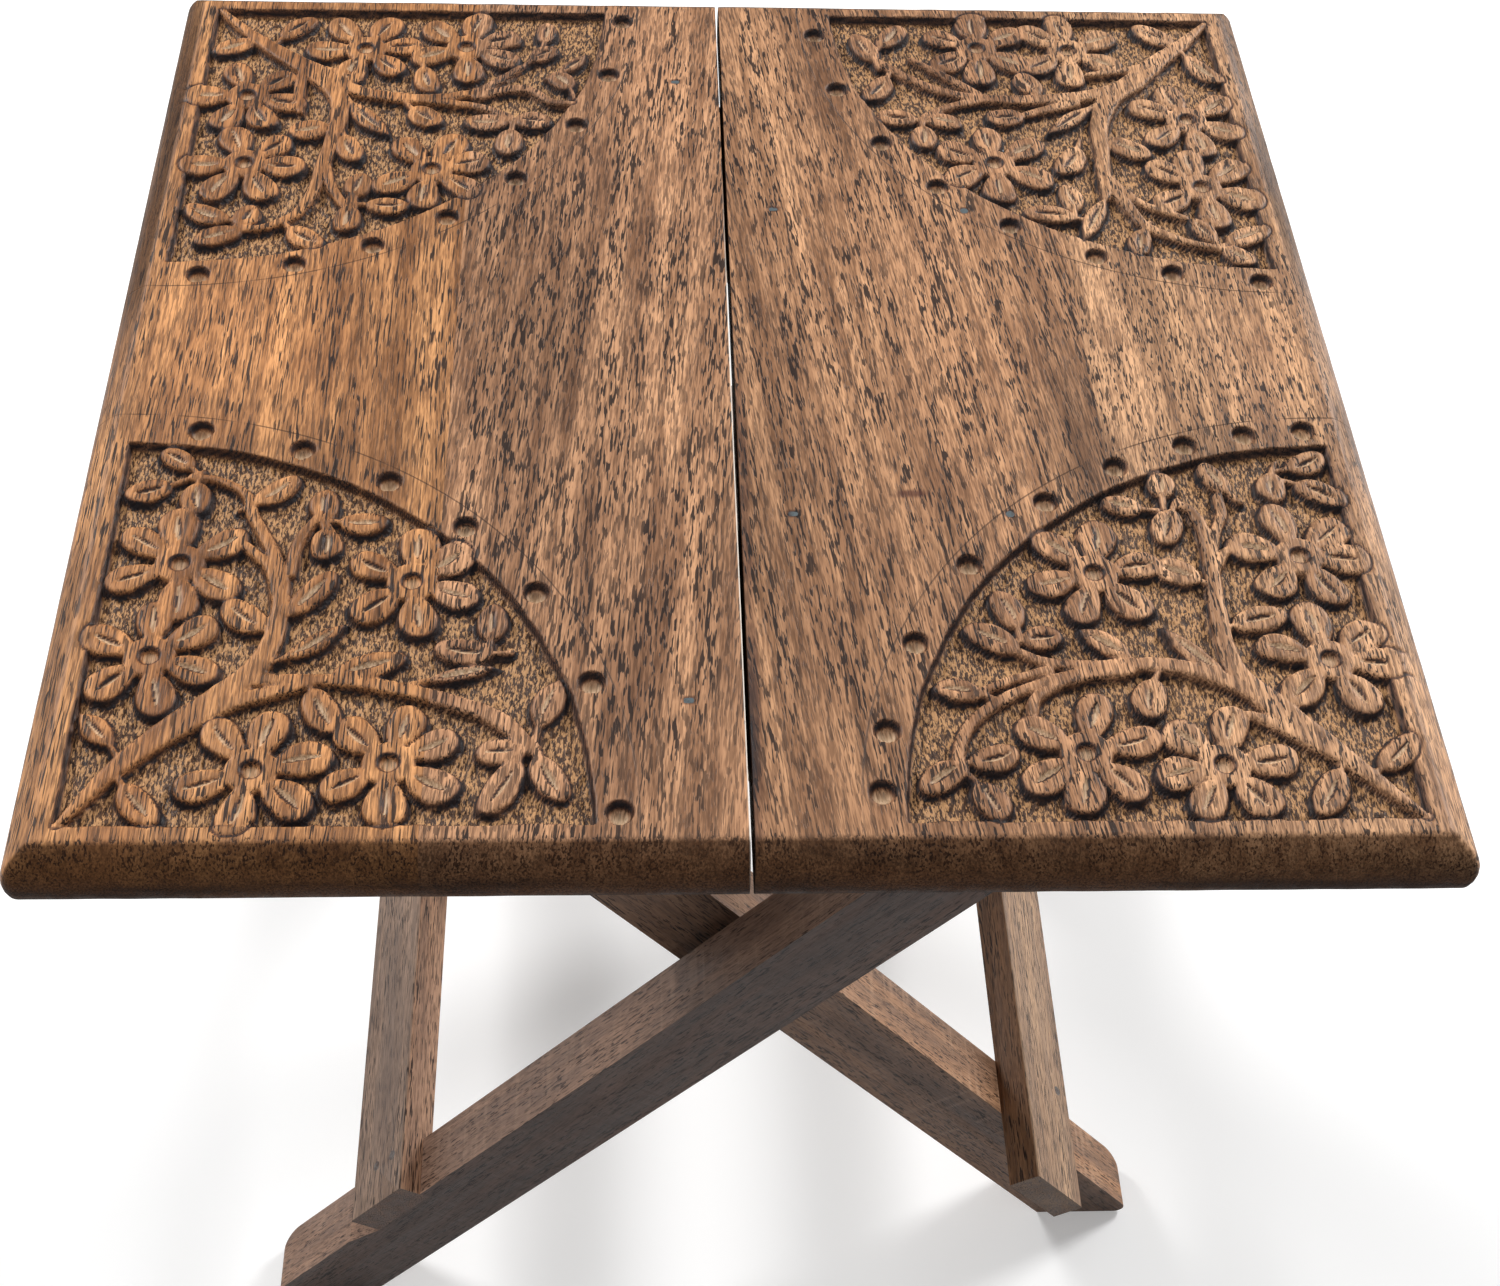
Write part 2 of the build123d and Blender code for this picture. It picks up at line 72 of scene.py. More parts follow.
def smooth(t):
    """0 to 1 with soft ends."""
    t = np.clip(t, 0.0, 1.0)
    return t * t * (3 - 2 * t)


def noise(x, y, size_x, size_y, seed):
    """Smooth value noise from 0 to 1, with features of the given sizes."""
    table = np.random.default_rng(seed).random((257, 257))
    u = x / size_x + 1000.0
    v = y / size_y + 1000.0
    iu = np.floor(u).astype(int)
    iv = np.floor(v).astype(int)
    fu = smooth(u - iu)
    fv = smooth(v - iv)
    iu %= 256
    iv %= 256
    low = table[iu, iv] * (1 - fu) + table[iu + 1, iv] * fu
    high = table[iu, iv + 1] * (1 - fu) + table[iu + 1, iv + 1] * fu
    return low * (1 - fv) + high * fv


# ---------------------------------------------------------------- the carved design
# Each corner's design is in its own frame, in millimetres: a runs in from the side edge's border and b
# from the front or back edge's border. Angles are in degrees, from a towards b.
# flowers: (a, b, petal angles). leaves: (a0, b0, a1, b1, half width), from base to tip.
# stems: [(a, b, half width), ...].
# These are measurements of one real stand, not worked out from a few dimensions. A measuring script
# printed most of the front corners' flower centres and all of DIMPLES: that is a fault.

DESIGNS = {
    (-1, -1): {
        "flowers": [
            (16.4, 72.0, (33, 98, 144, 203, 275, 325)),
            (13.4, 45.0, (38, 92, 154, 224, 284, 339)),
            (38.4, 14.2, (14, 76, 128, 200, 259, 317)),
            (66.6, 15.9, (27, 75, 134, 211, 270, 330)),
            (68.4, 66.4, (40, 86, 151, 221, 280, 340)),
        ],
        "leaves": [
            (12, 96.5, 0.8, 92.5, 4.0), (17, 97.5, 18.5, 86.5, 4.0), (16, 101.5, 7.5, 108, 3.4),
            (47.4, 85, 46.8, 95.5, 3.9), (50.5, 84.5, 62.5, 84.5, 3.8), (47.8, 83, 48.8, 72.5, 4.0),
            (30.9, 90, 40.9, 99.4, 3.6), (37.6, 52.2, 27.0, 60.8, 4.3), (41.4, 56.1, 51.4, 70, 3.6),
            (40.9, 43.3, 55.6, 54.4, -2.9), (52.6, 39.4, 69, 45, 4.0), (48.4, 36.1, 54.8, 23.4, 4.3),
            (97, 24.4, 102, 39, -3.9), (95, 19, 84, 18.6, 3.9), (94, 17, 86.4, 2.2, 4.0),
            (97, 18, 103.4, 5.6, 3.9), (9.4, 20, 0.8, 30, -3.4), (12, 11, 20.7, 0.2, 3.8),
            (72, 37.8, 89, 42.2, -2.2), (86.4, 48.9, 87, 60.4, 3.8), (88, 45.4, 74, 47.4, 4.0),
        ],
        "stems": [
            [(0.9, 0.5, 0.6), (9, 13, 2.0), (20, 25, 3.0), (29, 33, 3.2), (36.5, 42, 2.7), (39.5, 52, 2.1),
             (39.5, 66, 1.7), (36, 77, 1.5), (31, 87, 1.3), (28.5, 94, 1.1), (22, 98, 1.0), (16, 99, 1.0)],
            [(14, 19, 1.6), (22, 25, 2.2), (31, 31.5, 2.0), (42, 35.5, 1.6), (48, 37.5, 1.2)],
            [(36, 38.5, 1.6), (45, 38.5, 1.5), (57, 38, 1.6), (69, 35.5, 1.8), (80, 32, 1.8),
             (89, 27.5, 2.0), (96, 20, 1.8)],
            [(39.2, 62, 1.5), (36.4, 71, 1.4), (29.8, 78.3, 1.0)],
            [(41, 69, 1.2), (42, 79, 1.2), (46, 86.5, 1.0)],
        ],
    },
    (1, -1): {
        "flowers": [
            (13.3, 74.2, (13, 75, 138, 185, 243, 311)),
            (12.4, 43.3, (17, 80, 142, 185, 246, 314)),
            (41.1, 14.4, (45, 106, 173, 235, 298, 347)),
            (70.2, 17.8, (30, 106, 164, 228, 279, 326)),
            (61.7, 68.9, (45, 100, 167, 231, 290, 345)),
        ],
        "leaves": [
            (11, 101.7, 0.6, 107.2, 4.0), (10, 98, -1.3, 90.6, 4.0), (15, 101.5, 16.1, 91.0, 3.9),
            (42.2, 92.5, 41.7, 101.5, 3.8), (47.2, 89, 57.4, 91.7, 3.6), (40.6, 89.4, 44.4, 77.5, 4.1),
            (26, 93.9, 31.7, 104.4, 3.4), (37.2, 66.7, 48, 72.2, 4.3), (80.6, 52.2, 85, 64.2, 3.9),
            (81, 46, 93.5, 53.3, 4.2), (81, 48.9, 70.8, 50.6, 3.9), (90.6, 33.9, 101.9, 36, 3.6),
            (95.6, 15, 84.2, 18.3, 4.0), (96, 15.6, 106.7, 7.8, 4.0), (94.4, 10.6, 89.2, 0, 4.0),
            (52.8, 38.3, 55.8, 26.4, 4.3), (56.1, 43.3, 68, 52.8, -3.6), (35.6, 37.8, 49.4, 53.3, -2.9),
            (32.8, 53.3, 19.2, 57.2, 4.1), (7.8, 12.8, -1.7, 22.4, 3.7), (16.1, 13.3, 23.3, 0.9, 4.0),
        ],
        "stems": [
            [(0.6, 0.6, 0.7), (8.9, 10, 1.7), (20, 22.2, 2.8), (27.8, 31.1, 3.2), (33.3, 38.9, 2.5),
             (35, 47.8, 2.0), (35, 57.8, 1.8), (34.4, 68.9, 1.6), (33.9, 80, 1.5), (35.6, 87.8, 1.2),
             (38.5, 90.5, 1.0)],
            [(25.6, 29.4, 2.2), (34.4, 36.1, 2.0), (43.3, 40.6, 1.9), (53.3, 42.2, 1.9), (64.4, 41.7, 1.6),
             (75.6, 42.8, 1.3), (82, 46, 1.0)],
            [(57.8, 40.6, 1.5), (70, 38.3, 1.3), (78.9, 33.3, 1.2), (80.5, 28.5, 0.8)],
            [(66.7, 40.6, 1.3), (83.3, 34.4, 1.3), (94.4, 25.6, 1.3), (97.8, 16.7, 1.2)],
            [(75.6, 40.6, 1.2), (84, 37.8, 1.1), (91, 34.8, 1.0)],
            [(15.6, 15.6, 1.2), (22, 21, 1.6), (31, 27, 1.3), (36, 28.2, 0.7)],
            [(28.9, 93.3, 1.0), (29, 88, 1.1), (31.5, 82, 1.2), (33.5, 76, 1.3)],
            [(34.4, 68.9, 1.3), (31, 75, 1.1), (27, 77, 0.9)],
        ],
    },
    (-1, 1): {
        "flowers": [
            (12.6, 39.8, (13, 62, 115, 180, 251, 318)),
            (15.0, 69.2, (5, 63, 120, 177, 251, 314)),
            (43.1, 17.6, (47, 108, 177, 235, 297, 352)),
            (71.1, 16.4, (26, 86, 158, 224, 284, 339)),
            (64.4, 71.1, (40, 98, 151, 233, 294, 343)),
        ],
        "leaves": [
            (12, 14.2, 0.3, 20.3, 4.0), (18.7, 13.1, 28.1, 2.6, 3.8), (92.6, 14.2, 93.7, 3.7, 3.4),
            (88.7, 22, 97, 15.9, 3.6), (101, 35.3, 94.8, 27.5, 3.8), (96.4, 28.7, 105.3, 18.7, -2.4),
            (84.2, 49.8, 71.2, 50.9, 4.1), (85.3, 48.7, 96.4, 50.3, 4.2), (84.8, 53.1, 84, 65, 4.2),
            (57, 44.2, 65.9, 52, 4.5), (39.8, 40.9, 52.6, 57.6, -3.5), (35.9, 52.6, 24.9, 55.9, 4.6),
            (39.8, 56.4, 44.4, 68.3, 4.0), (59.2, 25.3, 62.6, 38, 3.9), (44.8, 83.1, 46.4, 72.4, 4.0),
            (47.6, 85.9, 60, 86.4, 3.7), (44.2, 85.9, 43.1, 97.2, 4.0), (13.7, 93.1, 0.9, 87, 4.0),
            (15.9, 95.3, 19.8, 86.2, 4.0), (17.6, 96.4, 5.1, 101.4, 4.0), (28.7, 95.3, 38.7, 103, 4.0),
        ],
        "stems": [
            [(1.4, 0.3, 0.7), (11.4, 12, 1.8), (20.9, 20.9, 2.6), (29.8, 28.7, 3.0), (36.4, 37.6, 2.8),
             (38.1, 47.6, 2.2), (37, 58.7, 1.9), (35.3, 69.8, 1.7), (34, 80, 1.5), (30, 90, 1.3),
             (22, 95.5, 1.1), (16, 95, 1.0)],
            [(36.4, 69.8, 1.4), (38.7, 78.7, 1.4), (42.5, 86, 1.2)],
            [(28.7, 26.4, 2.0), (42, 36.4, 2.0), (54.2, 39.8, 2.0), (64.2, 39.8, 1.7), (75.3, 36.4, 1.4),
             (82, 30, 1.1), (86.4, 25.3, 0.8)],
            [(63, 41, 1.4), (76.4, 43.7, 1.2), (84.4, 48, 1.0)],
            [(74.8, 38.7, 1.5), (84, 35.4, 1.5), (89.8, 35.9, 1.4), (95.3, 40.9, 1.2), (101, 41.6, 0.8)],
            [(25.3, 23.1, 1.4), (33, 27.5, 1.3), (38.5, 28.6, 1.0)],
            [(26.5, 27, 1.2), (26.4, 38, 1.5), (27.5, 46.5, 0.9)],
        ],
    },
    (1, 1): {
        "flowers": [
            (12.8, 46.4, (43, 101, 155, 219, 287, 335)),
            (13.6, 75.9, (32, 99, 157, 220, 278, 322)),
            (42.2, 14.8, (36, 87, 150, 210, 277, 320)),
            (68.3, 14.2, (35, 89, 146, 213, 271, 336)),
            (68.7, 66.4, (31, 92, 150, 216, 274, 333)),
        ],
        "leaves": [
            (10.6, 10.9, 22.2, 2, 4.2), (8.9, 16.4, 0, 29.8, 3.7), (52.8, 35.9, 57.8, 25.1, 4.0),
            (57.8, 45.3, 69.6, 46.4, 4.2), (37.8, 39.8, 53.3, 53.7, -3.0), (44.4, 58.7, 51.3, 71, 4.2),
            (36.7, 55.3, 24.8, 63.1, 4.2), (97.8, 20.9, 103.3, 7.4, 3.9), (96.1, 14.2, 88.7, 3.1, 4.0),
            (94.4, 27.6, 101.7, 39.4, 3.9), (87.8, 47.6, 99.6, 45.3, 4.0), (86.7, 49.8, 87.2, 60.5, 4.0),
            (85.6, 46.4, 75.4, 49.8, 3.6), (48.9, 88.7, 63.5, 86.4, 3.9), (48.9, 86.4, 50.6, 74.6, 3.6),
            (40, 79.8, 48.9, 98.7, -3.1), (32.2, 93.1, 35, 104.4, 3.5), (11.1, 99.2, -1.7, 92.4, 3.8),
            (13.3, 98.7, 18.9, 88.5, 3.3), (12.2, 100.3, 4.2, 107.4, 3.6),
        ],
        "stems": [
            [(0.6, 1, 0.7), (8.9, 11, 2.0), (17, 19, 2.7), (25, 28.5, 3.3), (32, 35, 3.1), (35.5, 42, 2.8),
             (38, 52, 2.2), (38.5, 62, 1.9), (39.5, 74, 1.5), (40, 80, 1.2)],
            [(27.8, 30.9, 2.2), (38.9, 35.3, 2.1), (53.3, 37.6, 2.0), (66.7, 37.6, 1.7), (77.8, 35.3, 1.5),
             (86, 30.5, 1.3), (93.3, 24.2, 1.2), (97.8, 19.8, 1.0)],
            [(70, 35.3, 1.2), (80, 26, 1.1), (87.5, 19.5, 0.8)],
            [(66.7, 37.6, 1.3), (77.8, 41, 1.2), (86, 46, 1.0)],
            [(43.3, 38.7, 1.6), (50, 41.5, 1.5), (57.8, 44.5, 1.0)],
            [(39.2, 66, 1.7), (38.4, 74, 1.6), (34.4, 84, 1.5), (31, 92, 1.4), (22, 98, 1.2), (13, 101, 1.0)],
            [(37.8, 73.1, 1.3), (31, 82.5, 1.2), (20, 88.7, 0.8)],
            [(22.2, 22, 1.2), (31, 24.5, 1.1), (38, 25.8, 0.8)],
        ],
    },
}

# Angles of the drilled dimples round each corner's arc, in the same corner frames, as measured.
DIMPLES = {
    (-1, -1): (81.9, 69.4, 57.8, 46.2, 33.2, 18.8, 1.3),
    (1, -1): (87.7, 80.3, 72.6, 63.0, 52.3, 38.3, 24.7, 11.8, 3.7),
    (-1, 1): (85.8, 73.8, 63.5, 52.7, 40.9, 26.9, 14.7, 1.9),
    (1, 1): (4.6, 17.6, 30.6, 42.2, 54.1, 66.3, 76.3, 87.7),
}

PANEL_CORNER = 142.0
ARC_RADIUS = 109.5
POCKET_DEPTH = 2.6
WALL_WIDTH = 0.9
DIMPLE_RING_RADIUS = 114.8
DIMPLE_RADIUS = 3.0
DIMPLE_DEPTH = 2.4
SCREW_TIPS = ((-12.5, -110.0), (-12.5, 110.0), (12.5, -55.0), (12.5, 55.0), (63.0, -55.0), (63.0, 55.0))
PETAL_BASE = 3.6
PETAL_TIP = 17.0
PETAL_HALF_WIDTH = 4.6
FLOWER_WEB = 6.0      # inside this radius a flower's petals run together
FLOWER_HOLE = 2.3
STEM_EXTRA = 0.4
# Lighter and darker areas of the top: (x, y, reach along x, reach along y, amount).
TONES = (
    (-122, 5, 20, 24, 0.34), (-46, -5, 16, 42, -0.14), (5, -60, 10, 45, -0.12), (57, 5, 15, 55, 0.14),
    (83, -30, 8, 26, -0.24), (134, 0, 13, 24, 0.22), (-19, 112, 16, 36, 0.14), (-98, 62, 26, 12, -0.16),
    (-96, -36, 20, 10, -0.14), (116, -34, 24, 8, -0.20), (-62, 40, 8, 30, -0.08), (30, 60, 10, 34, 0.06),
)
FLAME = (81.0, 12.0, 6.5, 52.0)   # dark figure beside the right leaf's glue line, as x, y and reaches
STAIN = (40.3, -48.7, 6.5, 1.9)   # a reddish stain on the right leaf, likewise


def rounded(d, edge_drop, dome):
    """Height of a carved piece's top and wall, for the distance d from its outline (negative inside)."""
    wall = -POCKET_DEPTH + (POCKET_DEPTH - edge_drop) * smooth((0.42 - d) / WALL_WIDTH)
    rise = np.clip(-(d + 0.3) / dome, 0.0, 1.0)
    return wall + (edge_drop - 0.12) * np.sqrt(np.clip(1 - (1 - rise) ** 2, 0, 1)) * (d < -0.3)


class Relief:
    """One corner's carving, evaluated on arrays of a and b."""

    def __init__(self, a, b):
        self.a = a
        self.b = b
        wobble = 0.5 * (noise(a, b, 9, 9, 11) - 0.5) + 0.35 * (noise(a, b, 2.3, 2.3, 12) - 0.5)
        self.pocket = np.maximum(np.maximum(-a, -b), np.hypot(a, b) - ARC_RADIUS) + wobble
        self.height = -POCKET_DEPTH * smooth((0.25 - self.pocket) / WALL_WIDTH)
        inside = smooth((-self.pocket - 0.2) / 0.8)
        strokes = noise(a, b, 0.8, 2.6, 13) * 0.6 + noise(a, b, 0.5, 1.2, 14) * 0.4
        self.height = self.height + inside * (strokes - 0.4) * 1.5
        self.ground = inside
        # Dark colour in the carving, partly burnt and partly painted shade: here on the pocket's wall.
        self.burn_and_shade = 0.85 * np.exp(-((self.pocket + 0.2) / 0.45) ** 2)
        self.cut = np.zeros_like(a)
        self.raised = np.zeros_like(a)
        self.nearest = np.full_like(a, 99.0)
        self.margin = smooth((self.pocket + 0.2) / 0.4)

    def lay(self, d, height, burn_and_shade, cut):
        """Adds one carved piece. It hides what is lower; on the margin only its outline is incised."""
        over = (height > self.height) & (self.pocket < 0.2)
        self.height = np.where(over, height, self.height)
        self.burn_and_shade = np.where(over, burn_and_shade, self.burn_and_shade)
        self.cut = np.where(over, cut, self.cut)
        self.ground = np.where(over & (d < 0.1), 0.0, self.ground)
        self.raised = np.where(over, smooth(-d / 0.6), self.raised)
        self.nearest = np.minimum(self.nearest, d)
        line = self.margin * np.exp(-(d / 0.38) ** 2)
        self.height = self.height - 0.45 * line
        # The incised outline is darkened, partly burnt and partly painted shade in the incision.
        self.burn_and_shade = np.maximum(self.burn_and_shade, 0.8 * line)

    def leaf(self, a0, b0, a1, b1, half_width, rng, taper=0.0, stalk=0.0):
        """A petal or leaf from base to tip; a negative half width makes its ends pointed.

        taper widens it towards the tip and stalk is how far a thin stalk reaches behind its base.
        """
        pointed = half_width < 0
        half_width = abs(half_width)
        middle_a = (a0 + a1) / 2
        middle_b = (b0 + b1) / 2
        length = math.hypot(a1 - a0, b1 - b0) / 2
        ea = (a1 - a0) / 2 / length
        eb = (b1 - b0) / 2 / length
        bend = rng.uniform(-0.9, 0.9)
        keen = rng.uniform(0.8, 1.2)
        reach = length + half_width + 4
        box = (abs(self.a - middle_a) < reach) & (abs(self.b - middle_b) < reach)
        if not box.any():
            return
        u = (self.a - middle_a) * ea + (self.b - middle_b) * eb
        v = -(self.a - middle_a) * eb + (self.b - middle_b) * ea
        v = v + bend * ((u / length) ** 2 - 0.4)
        width = half_width * np.clip(1 + taper * u / length, 0.4, 1.6)
        if pointed:
            d = 0.9 * (np.abs(v) - width * np.clip(1 - (u / length) ** 2, -0.6, 1))
        else:
            k1 = np.hypot(u / length, v / width)
            k2 = np.hypot(u / length**2, v / width**2) + 1e-6
            d = k1 * (k1 - 1) / k2
        if stalk:
            from_base = np.clip(u + length, -stalk, length)
            d = np.minimum(d, np.hypot(u + length - from_base, v) - 1.15)
        d = np.where(box, d, 9.0) + 0.25 * (noise(self.a, self.b, 2.0, 2.0, 15) - 0.5)
        height = rounded(d, 1.0, 1.6)
        slit_reach = 0.58 * length
        slit_width = 1.0 * keen * np.clip(1 - (u / slit_reach) ** 2, 0, 1)
        off = v + 0.35 * bend * (u / length)
        slit = np.clip(1 - np.abs(off) / np.maximum(slit_width, 1e-3), 0, 1) * (np.abs(u) < slit_reach)
        height = height - 0.9 * keen * slit
        patch = noise(self.a, self.b, 5, 5, 16)
        # Dark outline round the piece and darker patches on its top towards the tip: partly burnt, partly
        # painted shade.
        burn_and_shade = 1.1 * np.exp(-((d - 0.05) / 0.5) ** 2) * (0.8 + 0.4 * patch)
        tips = smooth((u / length - 0.1) / 0.9)
        scorch_and_shade = smooth((d + 2.0) / 2.2) * smooth((patch + 0.5 * tips - 0.6) / 0.6)
        burn_and_shade = np.clip(burn_and_shade + 0.75 * scorch_and_shade, 0, 1)
        # One wall of the slit is painted light and the other dark: painted highlight and painted shade on the
        # V-cut, over the fresh cut's own light colour.
        side = np.clip(off / np.maximum(slit_width, 1e-3), -1, 1)
        cut = smooth(slit * 1.8) * smooth((side + 0.4) / 0.5)
        self.lay(d, height, np.maximum(burn_and_shade, 0.8 * smooth(slit * 2.2) * (side < -0.15)), cut)

    def flower(self, a, b, angles, rng):
        web = np.hypot(self.a - a, self.b - b) - FLOWER_WEB
        # Dark outline of the flower's web, partly burnt and partly painted shade.
        web_burn_and_shade = 0.8 * np.exp(-((web - 0.1) / 0.5) ** 2)
        self.lay(np.where(web < 4, web, 9.0), rounded(web, 0.8, 1.2), web_burn_and_shade, 0 * web)
        for angle in angles:
            e = (math.cos(math.radians(angle)), math.sin(math.radians(angle)))
            tip = PETAL_TIP + rng.uniform(-1.0, 0.9)
            self.leaf(
                a + PETAL_BASE * e[0], b + PETAL_BASE * e[1], a + tip * e[0], b + tip * e[1],
                PETAL_HALF_WIDTH * rng.uniform(0.92, 1.08), rng, taper=0.22,
            )
        r = np.hypot(self.a - a, self.b - b)
        hole = smooth((FLOWER_HOLE + 0.15 - r) / 0.7)
        self.height = self.height - 1.3 * hole
        # Dark ring at the hole's rim, partly burnt and partly painted shade in the hole.
        rim_burn_and_shade = 0.85 * np.exp(-((r - FLOWER_HOLE) / 0.42) ** 2)
        self.burn_and_shade = np.maximum(self.burn_and_shade * smooth((r - 2.6) / 2.0), rim_burn_and_shade)
        self.cut = np.where(r < 5, 0.5 * smooth((FLOWER_HOLE - 0.7 - r) / 0.5), self.cut)

    def stem(self, points):
        """A stem through the points, as a smooth curve whose width changes along it."""
        points = np.array(points, float)
        ends = np.vstack([2 * points[0] - points[1], points, 2 * points[-1] - points[-2]])
        curve = []
        for p0, p1, p2, p3 in zip(ends[:-3], ends[1:-2], ends[2:-1], ends[3:]):
            for t in np.arange(6) / 6:
                curve.append(
                    0.5 * (2 * p1 + (p2 - p0) * t + (2 * p0 - 5 * p1 + 4 * p2 - p3) * t**2
                           + (3 * p1 - p0 - 3 * p2 + p3) * t**3)
                )
        curve.append(points[-1])
        d = np.full_like(self.a, 9.0)
        for p, q in zip(curve[:-1], curve[1:]):
            reach = 6.0
            columns = np.flatnonzero(
                (self.a[:, 0] > min(p[0], q[0]) - reach) & (self.a[:, 0] < max(p[0], q[0]) + reach)
            )
            rows = np.flatnonzero(
                (self.b[0] > min(p[1], q[1]) - reach) & (self.b[0] < max(p[1], q[1]) + reach)
            )
            if not len(columns) or not len(rows):
                continue
            part = (slice(columns[0], columns[-1] + 1), slice(rows[0], rows[-1] + 1))
            da = self.a[part] - p[0]
            db = self.b[part] - p[1]
            ea, eb = q[0] - p[0], q[1] - p[1]
            t = np.clip((da * ea + db * eb) / (ea * ea + eb * eb), 0, 1)
            gap = np.hypot(da - t * ea, db - t * eb) - (p[2] + STEM_EXTRA + t * (q[2] - p[2]))
            d[part] = np.minimum(d[part], gap)
        d = d + 0.3 * (noise(self.a, self.b, 2.6, 2.6, 17) - 0.5)
        height = rounded(d, 0.7, 1.2)
        # Dark outline of the stem, partly burnt and partly painted shade.
        burn_and_shade = 0.85 * np.exp(-((d - 0.2) / 0.5) ** 2)
        self.lay(d, height, np.clip(burn_and_shade * (0.7 + 0.6 * noise(self.a, self.b, 6, 6, 18)), 0, 1), 0 * d)

    def finish(self):
        """Paints shade on the ground beside the pieces' walls."""
        shade = 0.40 * np.exp(-np.clip(self.nearest, 0, 9) / 0.7) * self.ground
        self.burn_and_shade = np.clip(np.maximum(self.burn_and_shade, shade), 0, 1)


def top_surface(x, y):
    """Height above the top face and the colour masks, on grids x and y (x along the first axis)."""
    shape = (len(x), len(y))
    height = np.zeros(shape)
    masks = {name: np.zeros(shape) for name in ("burn_and_shade", "cut", "ground", "raised")}
    for (sx, sy), design in DESIGNS.items():
        columns = np.flatnonzero((PANEL_CORNER - sx * x < 122) & (sx * x > 0))
        rows = np.flatnonzero((PANEL_CORNER - sy * y < 122) & (sy * y > 0))
        if not len(columns) or not len(rows):
            continue
        part = (slice(columns[0], columns[-1] + 1), slice(rows[0], rows[-1] + 1))
        a, b = np.meshgrid(PANEL_CORNER - sx * x[part[0]], PANEL_CORNER - sy * y[part[1]], indexing="ij")
        rng = np.random.default_rng(40 + 2 * sx + sy)
        relief = Relief(a, b)
        for stem in design["stems"]:
            relief.stem(stem)
        for leaf in design["leaves"]:
            relief.leaf(*leaf, rng, stalk=3.0)
        for flower in design["flowers"]:
            relief.flower(*flower, rng)
        relief.finish()
        for angle in DIMPLES[(sx, sy)]:
            turn = math.radians(angle)
            r = np.hypot(a - DIMPLE_RING_RADIUS * math.cos(turn), b - DIMPLE_RING_RADIUS * math.sin(turn))
            bowl = np.sqrt(np.clip(1 - (r / DIMPLE_RADIUS) ** 2.6, 0, 1))
            relief.height = np.minimum(relief.height, -DIMPLE_DEPTH * bowl)
            relief.burn_and_shade = np.where(r < DIMPLE_RADIUS + 0.7, 0.0, relief.burn_and_shade)
            # Painted shade on each dimple's far side, and its fresh-cut bottom painted lighter on the near
            # side, which faces the lamps; the dark ring at the rim is partly burnt and partly painted shade.
            far = smooth(0.35 - sy * (b - DIMPLE_RING_RADIUS * math.sin(turn)) / DIMPLE_RADIUS)
            relief.burn_and_shade += (0.45 + 0.5 * far) * np.exp(-((r - DIMPLE_RADIUS + 0.35) / 0.55) ** 2)
            relief.ground = np.where(r < DIMPLE_RADIUS, 0.0, relief.ground)
            fresh_and_lit = 0.9 * smooth((DIMPLE_RADIUS - 0.8 - r) / 0.5) * (1 - 0.7 * far)
            relief.cut = np.where(r < DIMPLE_RADIUS, fresh_and_lit, relief.cut)
        height[part] = relief.height
        masks["burn_and_shade"][part] = np.clip(relief.burn_and_shade, 0, 1)
        masks["cut"][part] = relief.cut
        masks["ground"][part] = relief.ground
        masks["raised"][part] = relief.raised
    xx, yy = np.meshgrid(x, y, indexing="ij")
    for tip_x, tip_y in SCREW_TIPS:
        r = np.hypot(xx - tip_x, yy - tip_y)
        height -= 0.35 * smooth((1.4 - r) / 0.8)
        masks["burn_and_shade"] = np.maximum(masks["burn_and_shade"], 0.6 * smooth((1.9 - r) / 0.9))
    height += 0.10 * (noise(xx, yy, 14, 40, 21) - 0.5) * smooth((2 - np.abs(height)) / 2) - 0.05
    height -= 0.3 * smooth((1.7 - np.abs(xx)) / 1.2)
    # Darker along the right leaf's seam edge, towards the front.
    seam_darkening = smooth((3.4 - np.abs(xx - 0.5)) / 2.6) * smooth((25 - yy) / 70) * (xx > 0)
    masks["burn_and_shade"] = np.maximum(masks["burn_and_shade"], 0.62 * seam_darkening * (0.5 + noise(xx, yy, 3, 14, 23)))
    # Painted highlight on the left leaf's worn seam arris, fading towards the back.
    masks["arris_highlight"] = smooth((80 - yy) / 90) * (xx > -1.5) * (xx < 0)
    masks["tone"] = 0.5 + 0.11 * masks.pop("raised")
    for tone_x, tone_y, reach_x, reach_y, amount in TONES:
        masks["tone"] += amount * np.exp(-((xx - tone_x) / reach_x) ** 2 - ((yy - tone_y) / reach_y) ** 2)
    figure_x, figure_y, reach_x, reach_y = FLAME
    lean = (xx - figure_x) - 0.10 * (yy - figure_y)
    masks["flame"] = np.exp(-(lean / reach_x) ** 2 - ((yy - figure_y) / reach_y) ** 2)
    stain_x, stain_y, reach_x, reach_y = STAIN
    ragged = 0.5 + noise(xx, yy, 3.0, 2.0, 22)
    masks["spot"] = np.exp(-((xx - stain_x) / reach_x) ** 2 - ((yy - stain_y) / reach_y) ** 2) * ragged
    return height, masks


# ---------------------------------------------------------------- planks

EDGE_RUN = 7.0
# The moulded edge's section: (distance in from the widest line, drop below the top face), bottom first.
EDGE_SECTION = (
    (4.4, 14.0), (2.9, 13.8), (1.5, 13.0), (0.55, 11.7), (0.1, 10.0), (0.0, 8.2), (0.25, 6.5), (0.95, 4.8),
    (2.0, 3.4), (3.3, 2.2), (4.7, 1.2), (5.9, 0.5),
)
CORNER_ROUND = 3.5
FINE = 0.48
COARSE = 1.6
PLAIN_HALF = 23.0     # no carving or dimple comes nearer to the middle lines than this


